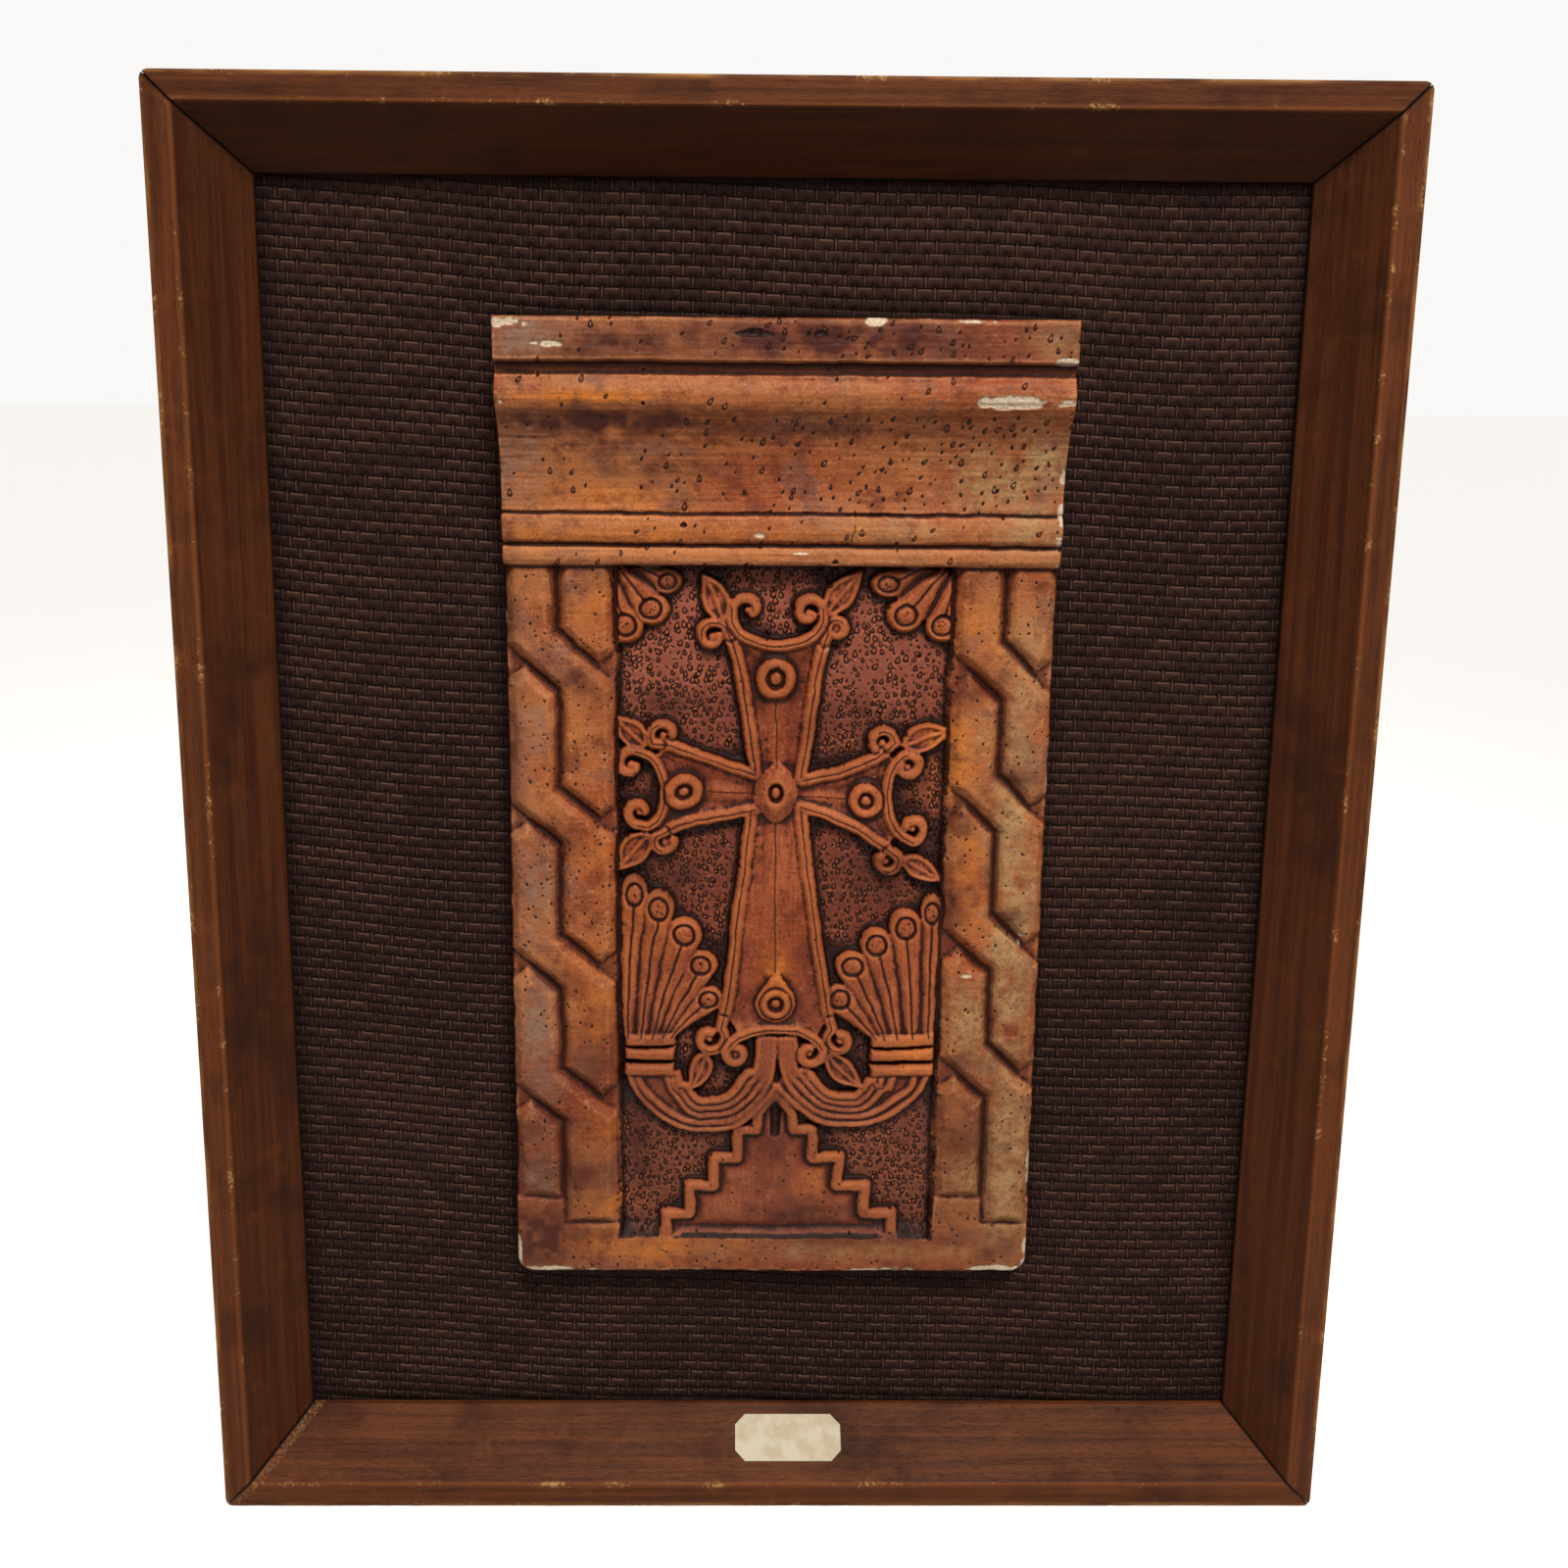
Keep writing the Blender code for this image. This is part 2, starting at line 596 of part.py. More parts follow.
def carve_cross(field):
    floor = field.floor + 0.5 * CROSS_RISE / MM
    rim_top = field.floor + CROSS_RISE / MM
    boss_top = rim_top + 0.8
    field.plate(oval(CROSS_MIDDLE, 7.7, 7.7), floor + 0.6, 1.0, 0.2)
    for arm in ARMS.values():
        carve_arm_face(field, arm, floor, rim_top - 0.5)
    for arm in ARMS.values():
        carve_arm(field, arm, rim_top)
    for centre, across, high, eye in ROUND_BOSSES:
        field.boss(centre, across, high, eye, boss_top)
    drop = np.vstack([oval(DROP_BOSS, 5.6, 5.6, 150, 390, 16), DROP_TIP])
    field.plate(drop, boss_top - 0.9, 1.0, 0.6, clear=0.5)
    field.boss(DROP_BOSS, 4.4, 4.4, 2.2, boss_top - 0.2)
    middle_x, middle_z = CROSS_MIDDLE
    side = [(0, 9.2), (5.1, 4), (5.9, 0), (5.1, -4), (0, -8.6)]
    around = side + [(-x, z) for x, z in side[-2::-1]]
    diamond = smooth([(middle_x + x, middle_z + z) for x, z in around], 3)
    field.plate(diamond[:-1], boss_top, 3.2, 1.5, clear=0.4)
    field.dome(CROSS_MIDDLE, 2.1, 2.7, boss_top - 2.2, 0)
    field.dome(CROSS_MIDDLE, 1.5, 1.9, boss_top - 1.7, 0.9)
    for leaf in LEAVES:
        carve_leaf(field, *leaf, field.floor + WING_RISE / MM)


def carve_wings(field):
    top = field.floor + WING_RISE / MM
    carve_petals(field, PALMETTES[: len(PALMETTES) // 2], top)
    carve_petals(field, PALMETTES[len(PALMETTES) // 2 :], top)
    carve_petals(field, WINGS[: len(WINGS) // 2], top)
    carve_petals(field, WINGS[len(WINGS) // 2 :], top)
    for side, middle, stalks in STALKS:
        lines = []
        for number, (start, low, rise) in enumerate(stalks):
            route = [
                (start, -67.5),
                (0.97 * start, -71.5),
                (middle + 0.74 * (start - middle), low + 6.5 - 0.4 * number),
                (middle + 0.42 * (start - middle), low + 1.6),
                (middle, low),
                (rise + 0.55 * (middle - rise), low + 1.6),
                (rise + 3.6, low + 8.2),
            ]
            route += [(rise + 0.6, -66), (rise, -57)] if number else [(rise, -71)]
            lines.append(smooth([(side * x, z) for x, z in route]))
        field.plate(np.vstack([lines[0], lines[-1][::-1]]), top - 1.0, 0.6, 0.3)
        for line in lines:
            field.strand(line, 2.3, top + 0.1, 0.9)
        for line, following in zip(lines, lines[1:]):
            between = (line[6:-14] + following[6 : 6 + len(line) - 20]) / 2
            close = np.hypot(*(line[6:-14] - following[6 : 6 + len(line) - 20]).T) < 3.2
            field.groove(between[close], 0.5, 0.3)
    for left, right in COLLARS:
        for z in COLLAR_BARS:
            low, high = z - COLLAR_HALF, z + COLLAR_HALF
            bar = [(left, low), (right, low), (right, high), (left, high)]
            field.plate(bar, top + 0.6, 1.0, 0.7, clear=0.3)


def step_line(first, last):
    """Risers and treads from the sill up to the apex."""
    across = np.linspace(first, last, STEP_COUNT)
    heights = np.linspace(STEP_LOWEST, STEP_HIGHEST, STEP_COUNT)
    line = [(first, DRAWN_FIELD[2] - 0.5)]
    for x, following, z in zip(across, [*across[1:], last / 2], heights):
        line += [(x, z), (following, z)]
    return np.array(line + [(last / 2 - 0.05 * last, -79.5), STEP_APEX])


def carve_steps(field):
    top = field.floor + STEP_RISE / MM
    sides = [step_line(first, last) for first, last in STEP_SIDES]
    field.plate(np.vstack([sides[0], sides[1][::-1]]), field.floor + 1.3, 7.0, 1.2)
    for line in sides:
        field.strand(line, 3.4, top, 0.9)
    field.groove(STEP_GAP, 3.4, 1.6)


def strap_outlines(left, right, middle, crossings, top, end):
    """Outlines of a two-strap braid: every strap comes down the left column and crosses to the right one."""
    left_of, right_of = middle - STRAP_CUT, middle + STRAP_CUT
    first = crossings[0]
    point = [(right, first + 3.4), (right - 4.2, first - 0.2), (right_of, first + 8.8)]
    yield [(right_of, top), (right, top)] + point
    above = None
    for here, below in zip(crossings, [*crossings[1:], None]):
        outline = [(left, top), (left_of, top)]
        if above is not None:
            outline = [(left, above - 5.0), (left + 4.6, above - 1.4), (left_of, above - 8.6)]
        outline += [(left_of, here + 8.2), (right, here - 6.0)]
        if below is None:
            outline += [(right, end - 8), (right_of, end - 8)]
        else:
            outline += [(right, below + 3.4), (right - 4.2, below - 0.2), (right_of, below + 8.8)]
        yield outline + [(right_of, here - 7.6), (left, here + 4.4)]
        above = here
    peak = [(left, above - 5.0), (left + 4.6, above - 1.4), (left_of, above - 8.6)]
    yield peak + [(left_of, end), (left, end)]


def carve_border(border, left, right, split, crossings):
    top = border.floor + BRAID_RISE / MM
    covered = (border.x > left - 1) & (border.x < right + 1) & (border.z < DRAWN_FIELD[3])
    border.heights[covered] = top - 3.0
    border.heights[covered & (border.z < BRAID_END)] = top - 1.3
    middle = left + split * (right - left)
    for outline in strap_outlines(left, right, middle, crossings, DRAWN_FIELD[3] + 2, BRAID_END):
        border.plate(outline, top, STRAP_CHAMFER, STRAP_FALL, clear=STRAP_CUT, depth=2.4)


def cornice_profile():
    """Heights and distances from the back, from the fillet at the foot to the top."""
    roll_z, roll_radius, roll_back, roll_rise = CORNICE_ROLL
    points = CORNICE_TOP + [tuple(point) for point in smooth(CORNICE_SWEEP)]
    points.append((CORNICE_SWEEP[-1][0] - 0.6, roll_back - 1.0))
    half_turn = np.linspace(0, pi, 9)
    points += [(roll_z + roll_radius * cos(a), roll_back + roll_rise * sin(a)) for a in half_turn]
    points += CORNICE_FILLET
    return np.array(sorted(points))


def relief_heights(x, z):
    """Height over the slab's back, in metres. x runs from the slab's middle, and z from its foot."""
    field_left = -RELIEF_WIDTH / 2 + LEFT_BORDER
    field_right = RELIEF_WIDTH / 2 - RIGHT_BORDER
    field_top = RELIEF_HEIGHT - CORNICE_HEIGHT
    left, right, foot, top = DRAWN_FIELD
    drawn_x = left + (x - field_left) / (field_right - field_left) * (right - left)
    drawn_z = foot + (z - SILL_HEIGHT) / (field_top - SILL_HEIGHT) * (top - foot)
    floor = FIELD_THICKNESS / MM
    heights = np.full(x.shape, floor)
    field = Carving(drawn_x, drawn_z, heights, floor)
    carve_steps(field)
    carve_wings(field)
    carve_cross(field)
    border = Carving(x / MM, drawn_z, heights, floor)
    braid_top = floor + BRAID_RISE / MM
    sill_height = braid_top - SILL_DROP
    in_field = (drawn_x > left) & (drawn_x < right)
    ledge = sill_height - LEDGE_SLOPE * np.clip(drawn_z - foot, 0, None)
    heights[in_field] = np.maximum(heights, ledge)[in_field]
    heights[drawn_z < foot] = sill_height
    edge = RELIEF_WIDTH / 2 / MM
    carve_border(border, -edge, field_left / MM, LEFT_BRAID_SPLIT, LEFT_CROSSINGS)
    carve_border(border, field_right / MM, edge, RIGHT_BRAID_SPLIT, RIGHT_CROSSINGS)
    profile = cornice_profile()
    rise = (z - field_top) / CORNICE_HEIGHT * (DRAWN_CORNICE_TOP - top) + top
    out = np.interp(rise, profile[:, 0], profile[:, 1])
    grow = (CORNICE_FRONT / MM - DRAWN_CORNICE_FOOT) / (DRAWN_CORNICE_FRONT - DRAWN_CORNICE_FOOT)
    out = DRAWN_CORNICE_FOOT + (out - DRAWN_CORNICE_FOOT) * grow
    heights[z > field_top] = out[z > field_top]
    return heights * MM


def half_width_at(z):
    """The slab's half width: rounded corners at the foot, and a slight flare in the cornice."""
    sunk = np.clip(FOOT_RADIUS - z, 0, FOOT_RADIUS)
    corner = FOOT_RADIUS - np.sqrt(FOOT_RADIUS**2 - sunk**2)
    flare = CORNICE_FLARE * np.clip((z - RELIEF_HEIGHT + CORNICE_HEIGHT) / CORNICE_HEIGHT, 0, 1)
    return RELIEF_WIDTH / 2 - corner + flare


def khachkar_relief(parts, material):
    """One cast solid: a grid lifted to the carved heights, closed at the back and thinned to few faces."""
    columns = round(RELIEF_WIDTH / GRID_PITCH)
    rows = round(RELIEF_HEIGHT / GRID_PITCH)
    bpy.ops.mesh.primitive_grid_add(x_subdivisions=columns, y_subdivisions=rows, size=1)
    made = bpy.context.object
    made.name = "khachkar_relief"
    for collection in made.users_collection:
        collection.objects.unlink(made)
    parts.objects.link(made)
    count = len(made.data.vertices)
    points = np.empty(count * 3, np.float32)
    made.data.vertices.foreach_get("co", points)
    points = points.reshape(-1, 3)
    z = (points[:, 1].astype(float) + 0.5) * RELIEF_HEIGHT
    x = 2 * points[:, 0] * half_width_at(z)
    heights = relief_heights(x, z)
    foot_z = -FRAME_HEIGHT / 2 + RELIEF_FOOT
    placed = np.stack([x, -SLAB_BACK - heights, foot_z + z], 1)
    made.data.vertices.foreach_set("co", placed.astype(np.float32).ravel())
    solid = bmesh.new()
    solid.from_mesh(made.data)
    rim = [edge for edge in solid.edges if edge.is_boundary]
    walls = bmesh.ops.extrude_edge_only(solid, edges=rim)["geom"]
    back = [item for item in walls if isinstance(item, bmesh.types.BMVert)]
    for vertex in back:
        vertex.co.y = -SLAB_BACK
    back_rim = [edge for edge in solid.edges if edge.is_boundary]
    bmesh.ops.edgeloop_fill(solid, edges=back_rim)
    bmesh.ops.recalc_face_normals(solid, faces=solid.faces)
    solid.to_mesh(made.data)
    solid.free()
    thin = made.modifiers.new("thin_out", "DECIMATE")
    thin.ratio = RELIEF_TRIANGLES / (2 * columns * rows)
    made.data.materials.append(material)


def build():
    clear_scene()
    parts = new_collection(OBJECT_NAME, True)
    helpers = new_collection("cutters", False)
    wood = principled("stained_wood", (0.11, 0.035, 0.018), 0.42)
    board = principled("backing_fibreboard", (0.25, 0.17, 0.10), 0.85)
    cloth = principled("dark_woven_cloth", (0.030, 0.017, 0.014), 0.9)
    plaster = principled("painted_plaster", (0.36, 0.12, 0.05), 0.5)
    card = principled("cream_card", (0.72, 0.62, 0.42), 0.8)
    frame_rails(parts, helpers, wood)
    inner_width = FRAME_WIDTH - 2 * (RABBET_INSET + FIT_GAP)
    inner_height = FRAME_HEIGHT - 2 * (RABBET_INSET + FIT_GAP)
    sheet("backing_board", inner_width, inner_height, 0, BOARD_THICKNESS, parts, board)
    sheet("woven_backing", inner_width, inner_height, CLOTH_BACK, CLOTH_FRONT, parts, cloth)
    khachkar_relief(parts, plaster)
    title_label(parts, card)


build()
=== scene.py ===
"""A small cross stone relief, cast and painted, on dark woven cloth in a wooden shadow frame.

Metres, +Z up, front towards -Y, the wall is the plane Y = 0. The carving is drawn in millimetres.
"""

from math import atan2, cos, degrees, hypot, pi, radians, sin

import bmesh
import bpy
import numpy as np
from mathutils import Matrix, Vector


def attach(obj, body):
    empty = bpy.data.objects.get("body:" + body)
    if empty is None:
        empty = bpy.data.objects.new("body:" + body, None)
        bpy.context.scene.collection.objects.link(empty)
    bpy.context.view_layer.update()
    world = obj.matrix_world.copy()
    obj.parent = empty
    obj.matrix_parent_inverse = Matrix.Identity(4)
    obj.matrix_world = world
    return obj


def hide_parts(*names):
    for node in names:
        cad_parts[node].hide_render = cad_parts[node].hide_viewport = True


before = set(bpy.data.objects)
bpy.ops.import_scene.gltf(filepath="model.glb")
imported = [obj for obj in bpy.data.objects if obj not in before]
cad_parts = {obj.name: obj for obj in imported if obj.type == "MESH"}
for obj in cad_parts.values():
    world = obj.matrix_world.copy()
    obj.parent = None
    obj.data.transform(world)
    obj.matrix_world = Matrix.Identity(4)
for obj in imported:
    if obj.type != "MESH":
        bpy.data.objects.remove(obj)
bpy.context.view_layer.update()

MM = 0.001


# Shader maths


class Wire:
    """A node's output. Sums and products of wires and numbers add Math nodes."""

    def __init__(self, finish, socket):
        self.finish, self.socket = finish, socket

    def maths(self, operation, first, second=0.0, clamp=False):
        settings = {"operation": operation, "use_clamp": clamp}
        return self.finish.node("Math", settings, {0: first, 1: second})

    def __add__(self, other):
        return self.maths("ADD", self, other)

    def __mul__(self, other):
        return self.maths("MULTIPLY", self, other)

    def __sub__(self, other):
        return self.maths("SUBTRACT", self, other)

    def __rsub__(self, other):
        return self.maths("SUBTRACT", other, self)

    def __truediv__(self, other):
        return self.maths("DIVIDE", self, other)

    def __abs__(self):
        return self.maths("ABSOLUTE", self)

    def clamped(self):
        return self.maths("ADD", self, 0.0, clamp=True)

    def least(self, other):
        return self.maths("MINIMUM", self, other)

    def most(self, other):
        return self.maths("MAXIMUM", self, other)

    __radd__ = __add__
    __rmul__ = __mul__


class Finish:
    """One material and the colour painted on it so far."""

    def __init__(self, name, colour=None):
        self.colour = colour
        self.material = bpy.data.materials.new(name)
        self.material.use_nodes = True
        self.tree = self.material.node_tree
        self.tree.nodes.clear()

    def node(self, kind, settings=None, sockets=None, out=0):
        """Adds any node. Its settings are set first, then the values or wires of its sockets."""
        made = self.tree.nodes.new("ShaderNode" + kind)
        for name, value in (settings or {}).items():
            setattr(made, name, value)
        for key, value in (sockets or {}).items():
            if isinstance(value, Wire):
                self.tree.links.new(value.socket, made.inputs[key])
            else:
                made.inputs[key].default_value = value
        return Wire(self, made.outputs[out])

    def mix(self, first, second, share):
        """Two colours, or a wire and a colour, by share."""
        settings = {"data_type": "RGBA", "clamp_factor": True}
        return self.node("Mix", settings, {0: share, 6: first, 7: second}, out=2)

    def coat(self, colour, share):
        """Lays another colour over what is painted so far."""
        self.colour = self.mix(self.colour, colour, share)

    def steps(self, value, low, high):
        """0 below low, 1 above high, and a smooth rise between them. low above high turns it round."""
        settings = {"interpolation_type": "SMOOTHSTEP"}
        if low < high:
            return self.node("MapRange", settings, {0: value, 1: low, 2: high})
        return self.node("MapRange", settings, {0: value, 1: high, 2: low, 3: 1.0, 4: 0.0})

    def place(self, stretch=(1, 1, 1), shift=(0, 0, 0)):
        """Object coordinates in millimetres, then divided by stretch."""
        at = self.node("TexCoord", out=3)
        scale = tuple(1 / (MM * part) for part in stretch)
        return self.node("Mapping", None, {0: at, 1: shift, 3: scale})

    def noise(self, at, detail, rough=0.5, warp=0.0):
        sockets = {"Vector": at, "Scale": 1.0, "Detail": detail, "Roughness": rough, "Distortion": warp}
        return self.node("TexNoise", None, sockets)

    def axis(self, at, letter):
        return self.node("SeparateXYZ", None, {0: at}, out="XYZ".index(letter))

    def layer(self, name):
        """A number that the mesh carries at its points."""
        return self.node("Attribute", {"attribute_name": name}, out=2)

    def bump(self, height, distance, strength=1.0):
        return self.node("Bump", None, {"Height": height, "Distance": distance, "Strength": strength})

    def shade(self, roughness, normal=None, **constants):
        sockets = {"Base Color": self.colour, "Roughness": roughness}
        if normal:
            sockets["Normal"] = normal
        for name, value in constants.items():
            sockets[name.replace("_", " ")] = value
        shader = self.node("BsdfPrincipled", None, sockets)
        surface = self.tree.nodes.new("ShaderNodeOutputMaterial")
        self.tree.links.new(shader.socket, surface.inputs["Surface"])
        return self.material


def paint(red, green, blue):
    """A colour given as on a screen, 0 to 255, made linear."""
    shares = [part / 255 for part in (red, green, blue)]
    return (*(s / 12.92 if s <= 0.04045 else ((s + 0.055) / 1.055) ** 2.4 for s in shares), 1.0)


# Camera, light and floor


def set_camera():
    """The photograph's view, fitted to the corners of the frame."""
    camera = bpy.data.cameras.new("camera")
    camera.sensor_width = 36.0
    camera.lens = 36.397
    camera.shift_x = 0.0316
    camera.shift_y = -0.0616
    camera.clip_start = 0.01
    holder = bpy.data.objects.new("camera", camera)
    bpy.context.scene.collection.objects.link(holder)
    right = (0.99992, -0.00979, 0.00781)
    up = (-0.00577, 0.19311, 0.98116)
    back = (-0.01112, -0.98113, 0.19304)
    turn = Matrix([right, up, back]).transposed().to_4x4()
    holder.matrix_world = Matrix.Translation((-0.01705, -0.43643, 0.12708)) @ turn
    bpy.context.scene.camera = holder


def lamp(name, place, target, size, watts, colour, spread=180):
    light = bpy.data.lights.new(name, "AREA")
    light.spread = radians(spread)
    light.shape = "RECTANGLE"
    light.size, light.size_y = size
    light.energy = watts
    light.color = colour
    holder = bpy.data.objects.new(name, light)
    bpy.context.scene.collection.objects.link(holder)
    back = Vector(place) - Vector(target)
    holder.matrix_world = Matrix.Translation(place) @ back.to_track_quat("Z", "Y").to_matrix().to_4x4()


def set_light():
    """Soft light from above the front, in a pale room that gives less light than it shows."""
    scene = bpy.context.scene
    scene.view_settings.view_transform = "Standard"
    world = bpy.data.worlds.new("pale_room")
    scene.world = world
    world.use_nodes = True
    tree = world.node_tree
    background = tree.nodes["Background"]
    background.inputs["Color"].default_value = (1.0, 0.99, 0.975, 1.0)
    seen = tree.nodes.new("ShaderNodeLightPath")
    strength = tree.nodes.new("ShaderNodeMapRange")
    tree.links.new(seen.outputs["Is Camera Ray"], strength.inputs["Value"])
    strength.inputs["To Min"].default_value = 0.12
    strength.inputs["To Max"].default_value = 0.95
    tree.links.new(strength.outputs[0], background.inputs["Strength"])
    lamp("key_light", (0.14, -0.95, 1.08), (0, 0, -0.02), (0.55, 0.4), 2.0, (1.0, 0.96, 0.90), 55)
    lamp("front_light", (0.3, -1.6, 0.35), (0, 0, 0), (0.9, 0.9), 0.4, (1.0, 0.97, 0.94), 50)


def lay_floor():
    """A plain pale floor with a soft light of its own, which throws no light back up at the object."""
    bpy.ops.mesh.primitive_plane_add(size=30, location=(0, 0, -0.2002))
    floor = bpy.context.object
    floor.name = "floor"
    floor.visible_diffuse = False
    finish = Finish("pale_floor", paint(236, 234, 230))
    grain = finish.noise(finish.place((40, 40, 40)), 2.0)
    floor.data.materials.append(finish.shade(0.7 + 0.1 * grain, Specular_IOR_Level=0.1))
    lit = bpy.data.collections.new("lit_by_the_floor_light")
    lit.objects.link(floor)
    light = bpy.data.lights.new("floor_light", "SUN")
    light.energy = 3.3
    light.angle = radians(70)
    light.color = (1.0, 0.995, 0.985)
    holder = bpy.data.objects.new("floor_light", light)
    holder.light_linking.receiver_collection = lit
    bpy.context.scene.collection.objects.link(holder)


# Mesh helpers


def linked(name, mesh):
    piece = bpy.data.objects.new(name, mesh)
    bpy.context.scene.collection.objects.link(piece)
    return piece


def only(piece):
    """Selects this piece alone, ready for an operator."""
    bpy.ops.object.select_all(action="DESELECT")
    piece.select_set(True)
    bpy.context.view_layer.objects.active = piece


def give_layer(mesh, name, values):
    layer = mesh.attributes.new(name, "FLOAT", "POINT")
    layer.data.foreach_set("value", np.asarray(values, np.float32).ravel())


def points_of(mesh):
    points = np.empty(len(mesh.vertices) * 3, np.float32)
    mesh.vertices.foreach_get("co", points)
    return points.reshape(-1, 3).astype(float)


def rim_of(solid):
    return [edge for edge in solid.edges if edge.is_boundary]


def drawn_out(solid, edges):
    """Extrudes the edges and gives the new vertices."""
    made = bmesh.ops.extrude_edge_only(solid, edges=edges)["geom"]
    return [item for item in made if isinstance(item, bmesh.types.BMVert)]


# The carving, drawn in millimetres


def smooth(points, steps=6):
    """A curve through the given points."""
    through = np.array([points[0], *points, points[-1]], float)
    curve = []
    for a, b, c, d in zip(through, through[1:], through[2:], through[3:]):
        for t in np.arange(steps) / steps:
            cubic = 2 * b + (c - a) * t + (2 * a - 5 * b + 4 * c - d) * t**2
            curve.append((cubic + (3 * b - a - 3 * c + d) * t**3) / 2)
    return np.array([*curve, through[-2]])


def curl(path, centre, end_radius, turn, steps=18):
    """The path, going on as a spiral round the centre by turn degrees."""
    start = path[-1] - np.array(centre)
    first_radius, first_angle = hypot(*start), atan2(start[1], start[0])
    spiral = []
    for step in range(1, steps + 1):
        share = step / steps
        radius = first_radius + (end_radius - first_radius) * share
        angle = first_angle + radians(turn) * share
        spiral.append((centre[0] + radius * cos(angle), centre[1] + radius * sin(angle)))
    return np.vstack([path, spiral])


def oval(centre, across, high, start=0, end=360, steps=28):
    angle = np.radians(np.linspace(start, end, steps + 1))
    return np.stack([centre[0] + across * np.cos(angle), centre[1] + high * np.sin(angle)], 1)


class Carving:
    """Heights over the slab's back, in millimetres, at points x, z of the drawn pattern."""

    def __init__(self, x, z, heights, floor, ink):
        self.x, self.z, self.heights, self.floor, self.ink = x, z, heights, floor, ink

    def near(self, points, reach):
        low = np.min(points, axis=0) - reach
        high = np.max(points, axis=0) + reach
        inside_x = (self.x > low[0]) & (self.x < high[0])
        return np.nonzero(inside_x & (self.z > low[1]) & (self.z < high[1]))

    def distance(self, at, points, closed=False):
        """How far each point lies from the line."""
        x, z = self.x[at], self.z[at]
        best = np.full(x.shape, np.inf)
        ends = np.roll(points, -1, axis=0) if closed else points[1:]
        for (ax, az), (bx, bz) in zip(points, ends):
            length2 = (bx - ax) ** 2 + (bz - az) ** 2
            if not length2:
                continue
            t = np.clip(((x - ax) * (bx - ax) + (z - az) * (bz - az)) / length2, 0, 1)
            best = np.minimum(best, np.hypot(x - ax - t * (bx - ax), z - az - t * (bz - az)))
        return best

    def inside(self, at, outline):
        x, z = self.x[at], self.z[at]
        odd = np.zeros(x.shape, bool)
        for (ax, az), (bx, bz) in zip(outline, np.roll(outline, -1, axis=0)):
            if az != bz:
                odd ^= ((az > z) != (bz > z)) & (x < (bx - ax) * (z - az) / (bz - az) + ax)
        return odd

    def strand(self, line, width, top, drop=0.7, clear=0.0, depth=1.2, closed=False):
        """A raised round-topped band along a line, with a cut of width clear on both sides."""
        line = np.asarray(line, float)
        at = self.near(line, width / 2 + clear)
        apart = self.distance(at, line, closed)
        height = self.heights[at]
        crown = top - drop * np.clip(2 * apart / width, 0, 1) ** 3
        if clear:
            cut = np.minimum(height, max(top - depth, self.floor))
            height = np.where(apart < width / 2 + clear, cut, height)
        else:
            crown = np.maximum(height, crown)
        self.heights[at] = np.where(apart < width / 2, crown, height)

    def groove(self, line, width, depth):
        """A thin cut along a line, filled with dark glaze."""
        line = np.asarray(line, float)
        at = self.near(line, width)
        apart = self.distance(at, line)
        self.heights[at] -= depth * np.clip(1 - (2 * apart / width) ** 2, 0, 1)
        self.ink[at] = np.maximum(self.ink[at], np.exp(-((2 * apart / width) ** 2)))

    def rim(self, line, width):
        """Dark glaze along a closed line."""
        at = self.near(line, width)
        apart = self.distance(at, line, closed=True)
        self.ink[at] = np.maximum(self.ink[at], np.exp(-((2 * apart / width) ** 2)))

    def plate(self, outline, top, edge=1.0, drop=0.6, clear=0.0, depth=1.2):
        """A raised area, its rim falling by drop over the width edge."""
        outline = np.asarray(outline, float)
        at = self.near(outline, clear)
        apart = self.distance(at, outline, closed=True)
        covered = self.inside(at, outline)
        height = self.heights[at]
        face = top - drop * np.clip(1 - apart / edge, 0, 1)
        if clear:
            cut = np.minimum(height, max(top - depth, self.floor))
            height = np.where(~covered & (apart < clear), cut, height)
        else:
            face = np.maximum(height, face)
        self.heights[at] = np.where(covered, face, height)

    def dome(self, centre, across, high, foot, rise):
        at = self.near([centre], max(across, high))
        x, z = self.x[at] - centre[0], self.z[at] - centre[1]
        share = (x / across) ** 2 + (z / high) ** 2
        crown = foot + rise * np.sqrt(np.clip(1 - share, 0, 1))
        self.heights[at] = np.where(share < 1, crown, self.heights[at])

    def boss(self, centre, across, high, eye, top):
        """A raised ring round a sunk ring with a small dome in it."""
        self.dome(centre, across + 0.5, high + 0.5, top - 1.9, 0)
        ring = oval(centre, (across + eye) / 2, (high + eye) / 2)
        self.strand(ring, across - eye, top, 0.8, closed=True)
        self.dome(centre, eye, eye * high / across, top - 2.0, 0)
        self.dome(centre, 0.66 * eye, 0.66 * eye * high / across, top - 1.6, 0.8)


# Slab, in millimetres: the same sizes as the solid's
SLAB_WIDTH = 147.2
SLAB_HEIGHT = 270.0
SLAB_BACK = 6.8
SLAB_FOOT = -128.4
FIELD_FLOOR = 7.0
FIELD_SIDES = (-44.6, 46.2)
FIELD_FOOT, FIELD_TOP = 10.4, 205.8
CORNICE_FLARE = 0.6
FOOT_RADIUS = 4.5
BRAID_RISE = 4.6
CROSS_RISE = 3.6
WING_RISE = 3.1
STEP_RISE = 2.8
FRONT_LIMIT = 22.3

